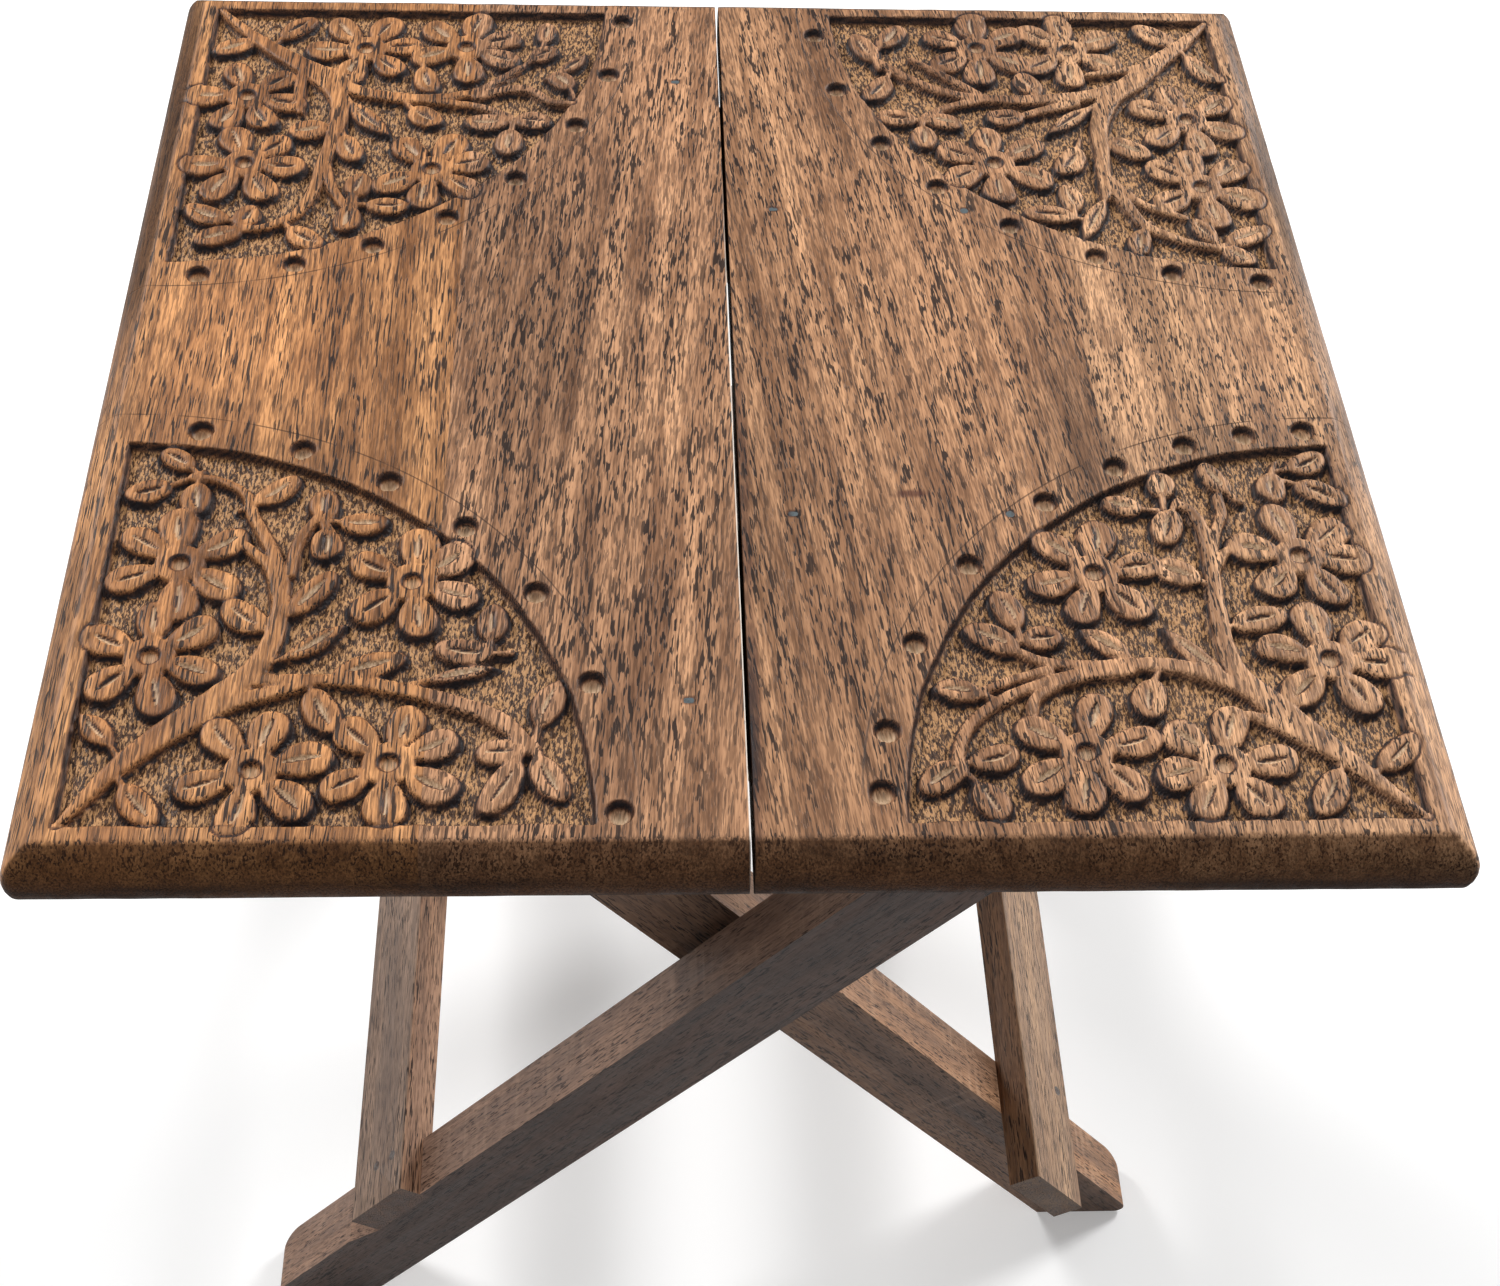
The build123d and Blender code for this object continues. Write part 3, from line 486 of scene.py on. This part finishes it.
def spaced(low, high):
    """Grid lines from low to high, fine where the carving is and coarse near the middle lines."""
    stops = [low] + [s for s in (-PLAIN_HALF, PLAIN_HALF) if low < s < high] + [high]
    lines = [np.array([low])]
    for start, end in zip(stops[:-1], stops[1:]):
        step = COARSE if abs(start + end) / 2 < PLAIN_HALF else FINE
        count = max(1, round((end - start) / step))
        lines.append(np.linspace(start, end, count + 1)[1:])
    return np.concatenate(lines)


def axis_lines(low, high, low_moulded, high_moulded):
    """Positions along one axis, and each line's level from the nearest moulded edge."""
    full = len(EDGE_SECTION)
    inner = spaced(low + EDGE_RUN * low_moulded, high - EDGE_RUN * high_moulded)
    levels = np.full(len(inner), full)
    sides = np.zeros(len(inner))
    if low_moulded:
        inner = np.concatenate([np.full(full, low), inner])
        levels = np.concatenate([np.arange(full), levels])
        sides = np.concatenate([np.full(full, -1.0), sides])
    if high_moulded:
        inner = np.concatenate([inner, np.full(full, high)])
        levels = np.concatenate([levels, np.arange(full)[::-1]])
        sides = np.concatenate([sides, np.full(full, 1.0)])
    return inner, levels, sides


def make_plank(name, low_moulded, high_moulded, body, material):
    """One plank with its carved top, moulded edges and flat underside, as a closed mesh."""
    low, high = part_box(name)
    x, level_x, side_x = axis_lines(low.x / MM, high.x / MM, low_moulded, high_moulded)
    y, level_y, side_y = axis_lines(low.y / MM, high.y / MM, True, True)
    full = len(EDGE_SECTION)
    section = np.array(EDGE_SECTION + ((EDGE_RUN, 0.0),))
    height, masks = top_surface(
        np.where(side_x == 0, x, x - side_x * EDGE_RUN), np.where(side_y == 0, y, y - side_y * EDGE_RUN)
    )
    level = np.minimum(level_x[:, None], level_y[None, :])
    run = section[level, 0]
    share = np.ones((full + 1, full + 1))
    for ring in range(full):
        share[ring, ring:] = (np.arange(ring, full + 1) - ring) / (full - ring)
    inset_x = run + (EDGE_RUN - run) * share[level, np.maximum(level, level_x[:, None])]
    inset_y = run + (EDGE_RUN - run) * share[level, np.maximum(level, level_y[None, :])]
    px = np.where(side_x[:, None] == 0, x[:, None], x[:, None] - side_x[:, None] * inset_x)
    py = np.where(side_y[None, :] == 0, y[None, :], y[None, :] - side_y[None, :] * inset_y)
    px = px + 0 * py
    py = py + 0 * px
    corner = HALF - CORNER_ROUND
    qx = np.abs(px) - corner
    qy = np.abs(py) - corner
    in_corner = (qx > 0) & (qy > 0)
    pull = np.where(in_corner, np.maximum(qx, qy) / np.maximum(np.hypot(qx, qy), 1e-9), 1.0)
    px = np.where(in_corner, np.sign(px) * (corner + qx * pull), px)
    py = np.where(in_corner, np.sign(py) * (corner + qy * pull), py)
    rim = smooth((level - full + 3) / 3.0)
    wear = 0.35 * (noise(px, py, 7, 7, 31) - 0.5) * ((level > 1) & (level < full))
    pz = TOP - section[level, 1] + height * rim + wear * 0.5
    pz = np.clip(pz, UNDERSIDE, TOP)

    nx, ny = pz.shape
    coords = np.stack([px, py, pz], -1).reshape(-1, 3) * MM
    index = np.arange(nx * ny).reshape(nx, ny)
    quads = np.stack([index[:-1, :-1], index[1:, :-1], index[1:, 1:], index[:-1, 1:]], -1).reshape(-1, 4)
    front, back = index[:, 0], index[:, -1]
    left, right = index[0], index[-1]
    polygons = [list(left), list(right[::-1])]
    bottom = list(front[::-1]) + list(left[1:-1] if low_moulded else []) + list(back)
    bottom += list(right[::-1][1:-1] if high_moulded else [])
    polygons = [p for p, moulded in zip(polygons, (low_moulded, high_moulded)) if not moulded]
    polygons.append(bottom)
    mesh = bpy.data.meshes.new(name + "_carved")
    loops = np.concatenate([quads.ravel()] + [np.array(p) for p in polygons])
    sizes = np.concatenate([np.full(len(quads), 4), [len(p) for p in polygons]])
    mesh.vertices.add(len(coords))
    mesh.vertices.foreach_set("co", coords.ravel().astype(np.float32))
    mesh.loops.add(len(loops))
    mesh.loops.foreach_set("vertex_index", loops.astype(np.int32))
    mesh.polygons.add(len(sizes))
    starts = np.concatenate([[0], np.cumsum(sizes)[:-1]])
    mesh.polygons.foreach_set("loop_start", starts.astype(np.int32))
    flat = np.concatenate([np.ones(len(quads), bool), np.zeros(len(polygons), bool)])
    mesh.update(calc_edges=True)
    mesh.polygons.foreach_set("use_smooth", flat)
    rim_vertex = np.zeros(len(coords), bool)
    for loop in (front, back, left, right):
        rim_vertex[loop] = True
    ends = np.zeros(len(mesh.edges) * 2, np.int32)
    mesh.edges.foreach_get("vertices", ends)
    ends = ends.reshape(-1, 2)
    sharp = mesh.attributes.new("sharp_edge", "BOOLEAN", "EDGE")
    sharp.data.foreach_set("value", rim_vertex[ends].all(1))
    # Dark edges, partly stain and partly painted shade: the front and back edges darker towards their lower
    # part, the side bevels with stain patches and painted shade low on the section and towards the back.
    edge_stain_and_shade = np.where(side_y[None, :] != 0, 1.0, 0.0) * (level < full) + 0 * px
    side_stain_and_shade = np.where(side_x[:, None] != 0, 1.0, 0.0) * (level < full) + 0 * px
    lower = smooth((section[level, 1] - 1.0) / 9.0)
    masks["stain_and_shade"] = np.where(level_y[None, :] <= level_x[:, None], edge_stain_and_shade, 0.0) * (0.72 + 0.28 * lower)
    patches = smooth((noise(px, py, 12, 26, 32) - 0.25) / 0.5)
    weathering_and_shade = 0.30 * patches + 0.8 * smooth((section[level, 1] - 4.0) / 9.0)
    weathering_and_shade = weathering_and_shade + np.where(px < 0, 0.55, 0.40) * smooth((py + 60) / 110)
    masks["stain_and_shade"] = np.maximum(masks["stain_and_shade"], side_stain_and_shade * np.clip(weathering_and_shade, 0, 1))
    for mask, values in masks.items():
        if mask in ("burn_and_shade", "cut", "ground"):
            values = values * rim
        attribute = mesh.attributes.new(mask, "FLOAT", "POINT")
        attribute.data.foreach_set("value", values.ravel().astype(np.float32))
    mesh.materials.append(material)
    mesh.validate()
    plank = bpy.data.objects.new(name + "_carved", mesh)
    bpy.context.scene.collection.objects.link(plank)
    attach(plank, body)
    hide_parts(name)
    return plank


# ---------------------------------------------------------------- materials


class Tree:
    """A material's node tree with short calls."""

    def __init__(self, name):
        self.material = bpy.data.materials.new(name)
        self.material.use_nodes = True
        self.tree = self.material.node_tree
        self.tree.nodes.clear()
        output = self.tree.nodes.new("ShaderNodeOutputMaterial")
        self.shader = self.tree.nodes.new("ShaderNodeBsdfPrincipled")
        self.tree.links.new(self.shader.outputs[0], output.inputs["Surface"])
        self.place = self.add("ShaderNodeTexCoord").outputs["Object"]

    def add(self, kind, **settings):
        made = self.tree.nodes.new(kind)
        for key, value in settings.items():
            setattr(made, key, value)
        return made

    def put(self, socket, value):
        if isinstance(value, bpy.types.NodeSocket):
            self.tree.links.new(value, socket)
        else:
            socket.default_value = value

    def stretched(self, size, turn=0.0, slant=0.0):
        """Coordinates in which a feature measures size (x, y, z in mm), in a frame turned about Y and Z."""
        made = self.add("ShaderNodeMapping", vector_type="TEXTURE")
        self.put(made.inputs["Vector"], self.place)
        made.inputs["Rotation"].default_value = (0.0, turn, slant)
        made.inputs["Scale"].default_value = [s * MM for s in size]
        return made.outputs[0]

    def noise(self, vector, detail=2.0, roughness=0.5, distortion=0.0):
        made = self.add("ShaderNodeTexNoise")
        self.put(made.inputs["Vector"], vector)
        made.inputs["Scale"].default_value = 1.0
        made.inputs["Detail"].default_value = detail
        made.inputs["Roughness"].default_value = roughness
        made.inputs["Distortion"].default_value = distortion
        return made.outputs["Fac"]

    def remap(self, value, low, high, to_low=0.0, to_high=1.0):
        made = self.add("ShaderNodeMapRange", interpolation_type="SMOOTHSTEP")
        for socket, given in zip(made.inputs, (value, low, high, to_low, to_high)):
            self.put(socket, given)
        return made.outputs[0]

    def math(self, operation, first, second=0.0):
        made = self.add("ShaderNodeMath", operation=operation)
        self.put(made.inputs[0], first)
        self.put(made.inputs[1], second)
        return made.outputs[0]

    def mix(self, factor, first, second, blend="MIX"):
        made = self.add("ShaderNodeMix", data_type="RGBA", blend_type=blend)
        self.put(made.inputs[0], factor)
        self.put(made.inputs[6], first if isinstance(first, bpy.types.NodeSocket) else (*first, 1.0))
        self.put(made.inputs[7], second if isinstance(second, bpy.types.NodeSocket) else (*second, 1.0))
        return made.outputs[2]

    def mask(self, name):
        return self.add("ShaderNodeAttribute", attribute_name=name).outputs["Fac"]

    def bump(self, height, strength, distance, normal=None):
        made = self.add("ShaderNodeBump")
        made.inputs["Strength"].default_value = strength
        made.inputs["Distance"].default_value = distance
        self.put(made.inputs["Height"], height)
        if normal is not None:
            self.put(made.inputs["Normal"], normal)
        return made.outputs[0]


def grey(value):
    return (value, value, value)


def wood(name, light, dark, along, turn=0.0, pores=(0.55, 9.0, 0.565), slant=0.0, carved=False,
         saw=0.0, contrast=1.0, faces=()):
    """Open-pored brown wood. along is the grain's axis, 1 for Y or 2 for Z, in a frame turned about Y.

    slant turns the grain about Z instead. pores gives the pores' width, length and threshold. contrast
    sets how strong the figure is. faces lists (direction, tint) for sides of the piece that are painted
    darker or lighter than the rest: painted light and shade.
    """
    t = Tree(name)

    def sized(across, length):
        size = [across, across, across]
        size[along] = length
        return t.stretched(size, turn, slant)

    broad = t.noise(sized(22, 260), 3.0, 0.55, 0.6)
    streak = t.noise(sized(3.4, 90), 3.0, 0.55, 0.4)
    fibre = t.noise(sized(0.45, 6), 2.0, 0.6)
    blotch = t.noise(sized(12, 26), 2.0, 0.5)
    colour = t.mix(t.remap(broad, 0.36, 0.64), dark, light)
    for pattern, low, high, dull, bright in (
        (streak, 0.36, 0.64, (0.70, 0.66, 0.64), 1.26),
        (fibre, 0.38, 0.62, (0.68, 0.65, 0.63), 1.34),
        (blotch, 0.30, 0.56, (0.80, 0.77, 0.76), 1.06),
    ):
        shade = t.mix(t.remap(pattern, low, high), dull, grey(bright))
        colour = t.mix(contrast, colour, t.mix(1.0, colour, shade, "MULTIPLY"))

    pore_width, pore_length, threshold = pores
    fine_pores = t.remap(t.noise(sized(pore_width, pore_length), 1.0), threshold, threshold + 0.04)
    large_pores = t.remap(t.noise(sized(pore_width * 1.5, pore_length * 1.5), 1.0), 0.645, 0.68)
    open_pores = t.math("MAXIMUM", fine_pores, large_pores)
    clump = t.remap(t.noise(sized(6, 40), 2.0), 0.36, 0.56, 0.50, 1.0)
    open_pores = t.math("MULTIPLY", open_pores, clump)
    colour = t.mix(t.math("MULTIPLY", open_pores, 0.94), colour, (0.016, 0.008, 0.006))

    height = t.math("SUBTRACT", t.math("MULTIPLY", fibre, 0.5), open_pores)
    t.put(t.shader.inputs["Roughness"], t.remap(streak, 0.3, 0.7, 0.46, 0.64))
    t.put(t.shader.inputs["Specular IOR Level"], 0.25)
    if saw:
        bands = t.noise(t.stretched((90, 90, 2.6), turn), 2.0)
        marks = t.math("MULTIPLY", t.remap(bands, 0.50, 0.66), t.remap(blotch, 0.40, 0.6))
        colour = t.mix(t.math("MULTIPLY", marks, saw), colour, (0.30, 0.21, 0.15))
        height = t.math("ADD", height, t.math("MULTIPLY", bands, 0.8))
    normal = t.add("ShaderNodeTexCoord").outputs["Normal"] if faces else None
    # Painted light and shade: each listed side's colour is multiplied by its tint.
    for direction, tint in faces:
        toward = t.add("ShaderNodeVectorMath", operation="DOT_PRODUCT")
        t.put(toward.inputs[0], normal)
        t.put(toward.inputs[1], direction)
        share = t.remap(toward.outputs["Value"], 0.80, 0.90)
        colour = t.mix(share, colour, t.mix(1.0, colour, tint, "MULTIPLY"))
    if carved:
        burn_and_shade, cut, ground, stain_and_shade = (t.mask(m) for m in ("burn_and_shade", "cut", "ground", "stain_and_shade"))
        tone = t.mix(t.mask("tone"), grey(0.30), grey(1.70))
        colour = t.mix(1.0, colour, tone, "MULTIPLY")
        flame = t.math("MULTIPLY", t.mask("flame"), t.remap(t.noise(sized(2.2, 60), 2.0), 0.44, 0.56))
        colour = t.mix(t.math("MULTIPLY", flame, 0.65), colour, (0.070, 0.032, 0.018))
        spot = t.math("MULTIPLY", t.remap(t.mask("spot"), 0.3, 0.9), 0.8)
        colour = t.mix(spot, colour, (0.070, 0.018, 0.011))
        # The punched ground's dark marks and golden flecks, partly painted shadow and highlight of the punch
        # marks.
        speck = t.noise(sized(0.60, 2.2), 2.0, 0.7)
        lit = t.remap(speck, 0.45, 0.58)
        speck_colour = t.mix(lit, (0.028, 0.012, 0.007), (0.56, 0.300, 0.130))
        ground_colour = t.mix(0.86, colour, speck_colour)
        colour = t.mix(ground, colour, ground_colour)
        # Fresh-cut wood colour, partly painted highlight on the lit sides of slits and dimples.
        fresh_and_lit = t.mix(t.remap(fibre, 0.3, 0.7), (0.44, 0.27, 0.15), (0.74, 0.53, 0.34))
        colour = t.mix(t.math("MULTIPLY", cut, 0.95), colour, fresh_and_lit)
        split = t.add("ShaderNodeSeparateXYZ")
        t.put(split.inputs[0], t.place)
        # Painted highlight along the left leaf's seam arris.
        arris_highlight = t.math("MULTIPLY", t.remap(split.outputs[0], -0.85 * MM, -0.6 * MM), t.mask("arris_highlight"))
        colour = t.mix(arris_highlight, colour, (0.90, 0.82, 0.72))
        # Colour of burning and painted shade: toasted brown, then almost black.
        patchy = t.remap(t.noise(sized(3, 5), 3.0), 0.25, 0.6, 0.75, 1.0)
        toasted_and_shaded = t.mix(1.0, colour, (0.40, 0.34, 0.34), "MULTIPLY")
        colour = t.mix(t.math("MULTIPLY", t.remap(burn_and_shade, 0.05, 0.55), patchy), colour, toasted_and_shaded)
        charred_and_shadowed = t.math("MULTIPLY", t.remap(burn_and_shade, 0.35, 0.85), patchy)
        colour = t.mix(t.math("MULTIPLY", charred_and_shadowed, 0.97), colour, (0.012, 0.010, 0.013))
        # Dark colour of the moulded edges: partly stain, partly painted shade.
        edge_speck = t.mix(t.remap(t.noise(sized(0.45, 1.2), 3.0, 0.7), 0.40, 0.62), grey(0.45), grey(1.5))
        wide = t.remap(t.noise(t.stretched((45, 45, 4)), 2.0), 0.36, 0.62)
        edge_speck = t.mix(1.0, edge_speck, t.mix(wide, grey(0.6), (1.5, 1.6, 1.5)), "MULTIPLY")
        edge_colour = t.mix(1.0, (0.040, 0.016, 0.0075), edge_speck, "MULTIPLY")
        colour = t.mix(stain_and_shade, colour, edge_colour)
        from_corner = t.add("ShaderNodeCombineXYZ")
        for axis in (0, 1):
            far = t.math("SUBTRACT", t.math("ABSOLUTE", split.outputs[axis]), PANEL_CORNER * MM)
            t.put(from_corner.inputs[axis], far)
        reach = t.add("ShaderNodeVectorMath", operation="LENGTH")
        t.put(reach.inputs[0], from_corner.outputs[0])
        off_line = t.math("ABSOLUTE", t.math("SUBTRACT", reach.outputs["Value"], 119.0 * MM))
        scribe = t.math("MULTIPLY", t.remap(off_line, 0.28 * MM, 0.08 * MM), t.remap(blotch, 0.3, 0.5))
        on_top = t.math("SUBTRACT", 1.0, stain_and_shade)
        scribed = t.math("MULTIPLY", t.math("MULTIPLY", scribe, on_top), 0.6)
        colour = t.mix(scribed, colour, (0.03, 0.017, 0.012))
        height = t.math("SUBTRACT", height, scribe)
        height = t.math("ADD", height, t.math("MULTIPLY", t.math("MULTIPLY", speck, ground), 2.6))
        t.put(t.shader.inputs["Specular IOR Level"], t.remap(stain_and_shade, 0.0, 1.0, 0.25, 0.05))
    t.put(t.shader.inputs["Base Color"], colour)
    t.put(t.shader.inputs["Normal"], t.bump(height, 0.6, 0.30 * MM))
    return t.material


def metal(name, tint, rust, roughness, metallic=1.0):
    """Dull metal with rust or dirt in patches."""
    t = Tree(name)
    spots = t.noise(t.stretched((3.0, 3.0, 3.0)), 5.0, 0.65)
    fine = t.noise(t.stretched((0.5, 0.5, 0.5)), 2.0)
    dirt = t.remap(spots, 0.48, 0.64)
    colour = t.mix(t.remap(fine, 0.3, 0.7), [c * 0.86 for c in tint], tint)
    t.put(t.shader.inputs["Base Color"], t.mix(dirt, colour, rust))
    t.put(t.shader.inputs["Metallic"], t.remap(dirt, 0.0, 1.0, metallic, 0.35 * metallic))
    t.put(t.shader.inputs["Roughness"], t.remap(spots, 0.3, 0.7, roughness - 0.08, roughness + 0.2))
    t.put(t.shader.inputs["Normal"], t.bump(spots, 0.25, 0.2 * MM))
    return t.material


LEAN = math.radians(37.2)
FRONT = (0.0, -1.0, 0.0)
# The upper sides of the legs, and the outer broad and upper narrow sides of the foot rails.
UP_LEFT = (-math.cos(LEAN), 0.0, math.sin(LEAN))
UP_RIGHT = (math.cos(LEAN), 0.0, math.sin(LEAN))
LEFT_NARROW = (math.sin(LEAN), 0.0, math.cos(LEAN))
RIGHT_NARROW = (-math.sin(LEAN), 0.0, math.cos(LEAN))

left_golden = wood(
    "left_outer_plank_wood", (0.44, 0.215, 0.087), (0.31, 0.138, 0.052), 1,
    pores=(0.50, 8, 0.575), carved=True,
)
left_brown = wood(
    "left_inner_plank_wood", (0.44, 0.236, 0.124), (0.29, 0.150, 0.078), 1, pores=(0.52, 5, 0.54),
    slant=-0.07, carved=True,
)
right_brown = wood(
    "right_inner_plank_wood", (0.40, 0.214, 0.110), (0.28, 0.144, 0.073), 1, pores=(0.52, 5, 0.555),
    slant=0.10, carved=True,
)
right_golden = wood(
    "right_outer_plank_wood", (0.47, 0.265, 0.142), (0.36, 0.198, 0.102), 1,
    pores=(0.50, 3.5, 0.57), carved=True,
)
# The legs' and rails' face tints are painted light and shade: upper sides and the left rail's narrow side
# lighter, the right rail's narrow side and the front faces darker; on the rails' ends partly the end grain's
# own darker colour.
outer_leg_wood = wood(
    "outer_leg_wood", (0.16, 0.102, 0.072), (0.10, 0.066, 0.050), 2, LEAN, (0.4, 3.5, 0.60), saw=0.10,
    contrast=0.5,
    faces=((FRONT, (0.50, 0.47, 0.50)), (UP_LEFT, (1.85, 1.70, 1.58))),
)
inner_leg_wood = wood(
    "inner_leg_wood", (0.18, 0.110, 0.068), (0.11, 0.070, 0.048), 2, -LEAN, (0.4, 3.5, 0.60), saw=0.25,
    contrast=0.5,
    faces=((FRONT, (0.82, 0.76, 0.76)), (UP_RIGHT, (2.1, 1.85, 1.6))),
)
left_rail_wood = wood(
    "left_rail_wood", (0.28, 0.186, 0.130), (0.20, 0.130, 0.092), 1, pores=(0.4, 6, 0.585), contrast=0.6,
    faces=((LEFT_NARROW, (1.7, 1.5, 1.35)), (FRONT, (0.40, 0.36, 0.36))),
)
right_rail_wood = wood(
    "right_rail_wood", (0.30, 0.198, 0.125), (0.22, 0.138, 0.085), 1, pores=(0.4, 6, 0.585), contrast=0.6,
    faces=((RIGHT_NARROW, (0.80, 0.64, 0.52)), (UP_RIGHT, (1.3, 1.25, 1.2)), (FRONT, (0.45, 0.42, 0.42))),
)
steel = metal("hinge_steel", (0.42, 0.36, 0.26), (0.14, 0.075, 0.04), 0.38)
screw_steel = metal("screw_steel", (0.36, 0.39, 0.42), (0.13, 0.10, 0.09), 0.42)
tip_steel = metal("screw_tip_steel", (0.10, 0.125, 0.135), (0.05, 0.04, 0.04), 0.6, 0.3)
nail_iron = metal("nail_iron", (0.16, 0.14, 0.13), (0.07, 0.04, 0.03), 0.55)
bolt_steel = metal("bolt_steel", (0.48, 0.48, 0.47), (0.20, 0.13, 0.09), 0.35)


def make_screw_tips(name, side, body):
    """The points of the hinge screws that just break through a leaf's top."""
    corners, faces = [], []
    for tip_x, tip_y in SCREW_TIPS:
        if tip_x * side < 0:
            continue
        base = len(corners)
        corners += [(tip_x, tip_y, TOP - 0.12), (tip_x, tip_y, TOP - 1.0)]
        count = 12
        for k in range(count):
            turn = 2 * math.pi * k / count
            corners.append((tip_x + 1.15 * math.cos(turn), tip_y + 1.15 * math.sin(turn), TOP - 0.22))
        for k in range(count):
            this, following = base + 2 + k, base + 2 + (k + 1) % count
            faces += [(base, this, following), (base + 1, following, this)]
    mesh = bpy.data.meshes.new(name)
    mesh.from_pydata([tuple(c * MM for c in corner) for corner in corners], [], faces)
    mesh.materials.append(tip_steel)
    tips = bpy.data.objects.new(name, mesh)
    bpy.context.scene.collection.objects.link(tips)
    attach(tips, body)


make_plank("left_outer_plank", True, False, "left_leaf", left_golden)
make_plank("left_inner_plank", False, False, "left_leaf", left_brown)
make_plank("right_inner_plank", False, False, "right_leaf", right_brown)
make_plank("right_outer_plank", False, True, "right_leaf", right_golden)
make_screw_tips("left_screw_tips", -1, "left_leaf")
make_screw_tips("right_screw_tips", 1, "right_leaf")

# ---------------------------------------------------------------- CAD nodes that stay

for name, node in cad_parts.items():
    if node.hide_render:
        continue
    if "leg" in name:
        material = outer_leg_wood if name.startswith("outer") else inner_leg_wood
    elif name.endswith("rail"):
        material = right_rail_wood if name == "right_foot_rail" else left_rail_wood
    elif "nails" in name:
        material = nail_iron
    elif "screws" in name:
        material = screw_steel
    elif "bolt" in name or "washer" in name or "spacer" in name:
        material = bolt_steel
    else:
        material = steel
    node.data.materials.clear()
    node.data.materials.append(material)
    if name.endswith(("leg", "rail")):
        weld = node.modifiers.new("weld", "WELD")
        weld.merge_threshold = 1e-5
        bevel = node.modifiers.new("worn_edges", "BEVEL")
        bevel.width = 0.7 * MM
        bevel.segments = 2
        bevel.limit_method = "ANGLE"
        bevel.angle_limit = math.radians(40)

# ---------------------------------------------------------------- floor, light and camera

floor_mesh = bpy.data.meshes.new("floor")
floor_mesh.from_pydata([(-4, -4, 0), (4, -4, 0), (4, 4, 0), (-4, 4, 0)], [], [(0, 1, 2, 3)])
floor = bpy.data.objects.new("floor", floor_mesh)
bpy.context.scene.collection.objects.link(floor)
floor_tree = Tree("pale_floor")
floor_tree.put(floor_tree.shader.inputs["Base Color"], (0.86, 0.86, 0.86, 1.0))
floor_tree.put(floor_tree.shader.inputs["Roughness"], 0.9)
floor_tree.put(floor_tree.shader.inputs["Emission Color"], (1.0, 1.0, 1.0, 1.0))
floor_tree.put(floor_tree.shader.inputs["Emission Strength"], 0.22)
floor_mesh.materials.append(floor_tree.material)

scene = bpy.context.scene
world = bpy.data.worlds.new("studio")
scene.world = world
world.use_nodes = True
world.node_tree.nodes["Background"].inputs[0].default_value = (1.0, 1.0, 1.0, 1.0)
world.node_tree.nodes["Background"].inputs[1].default_value = 0.32
scene.view_settings.view_transform = "Standard"


def softbox(name, place, target, size, power):
    light = bpy.data.lights.new(name, "AREA")
    light.shape = "RECTANGLE"
    light.size, light.size_y = size
    light.energy = power
    lamp = bpy.data.objects.new(name, light)
    scene.collection.objects.link(lamp)
    lamp.location = place
    aim = Vector(target) - Vector(place)
    lamp.rotation_mode = "QUATERNION"
    lamp.rotation_quaternion = aim.to_track_quat("-Z", "Y")


softbox("left_key", (-1.3, 1.1, 1.4), (0, 0, 0.3), (0.5, 0.5), 27)
softbox("right_key", (1.35, 1.1, 1.35), (0, 0, 0.3), (0.5, 0.5), 27)
softbox("right_strip", (1.5, 1.3, 0.35), (0.1, 0, 0.3), (1.0, 0.8), 12)
softbox("overhead", (-0.4, 0.1, 2.4), (0, 0, 0.2), (1.2, 1.2), 12)

YAW, PITCH, ROLL = 0.0806537, 0.8695143, -0.0595840
forward = Vector((math.sin(YAW) * math.cos(PITCH), math.cos(YAW) * math.cos(PITCH), -math.sin(PITCH)))
level_right = Vector((math.cos(YAW), -math.sin(YAW), 0.0))
level_down = forward.cross(level_right)
right = math.cos(ROLL) * level_right + math.sin(ROLL) * level_down
down = -math.sin(ROLL) * level_right + math.cos(ROLL) * level_down
camera_data = bpy.data.cameras.new("camera")
camera_data.sensor_width = 36.0
camera_data.lens = 53.264
camera = bpy.data.objects.new("camera", camera_data)
scene.collection.objects.link(camera)
turned = Matrix((right, -down, -forward)).transposed().to_4x4()
camera.matrix_world = Matrix.Translation((-0.0241185, -0.4069116, 0.6766401)) @ turned
scene.camera = camera
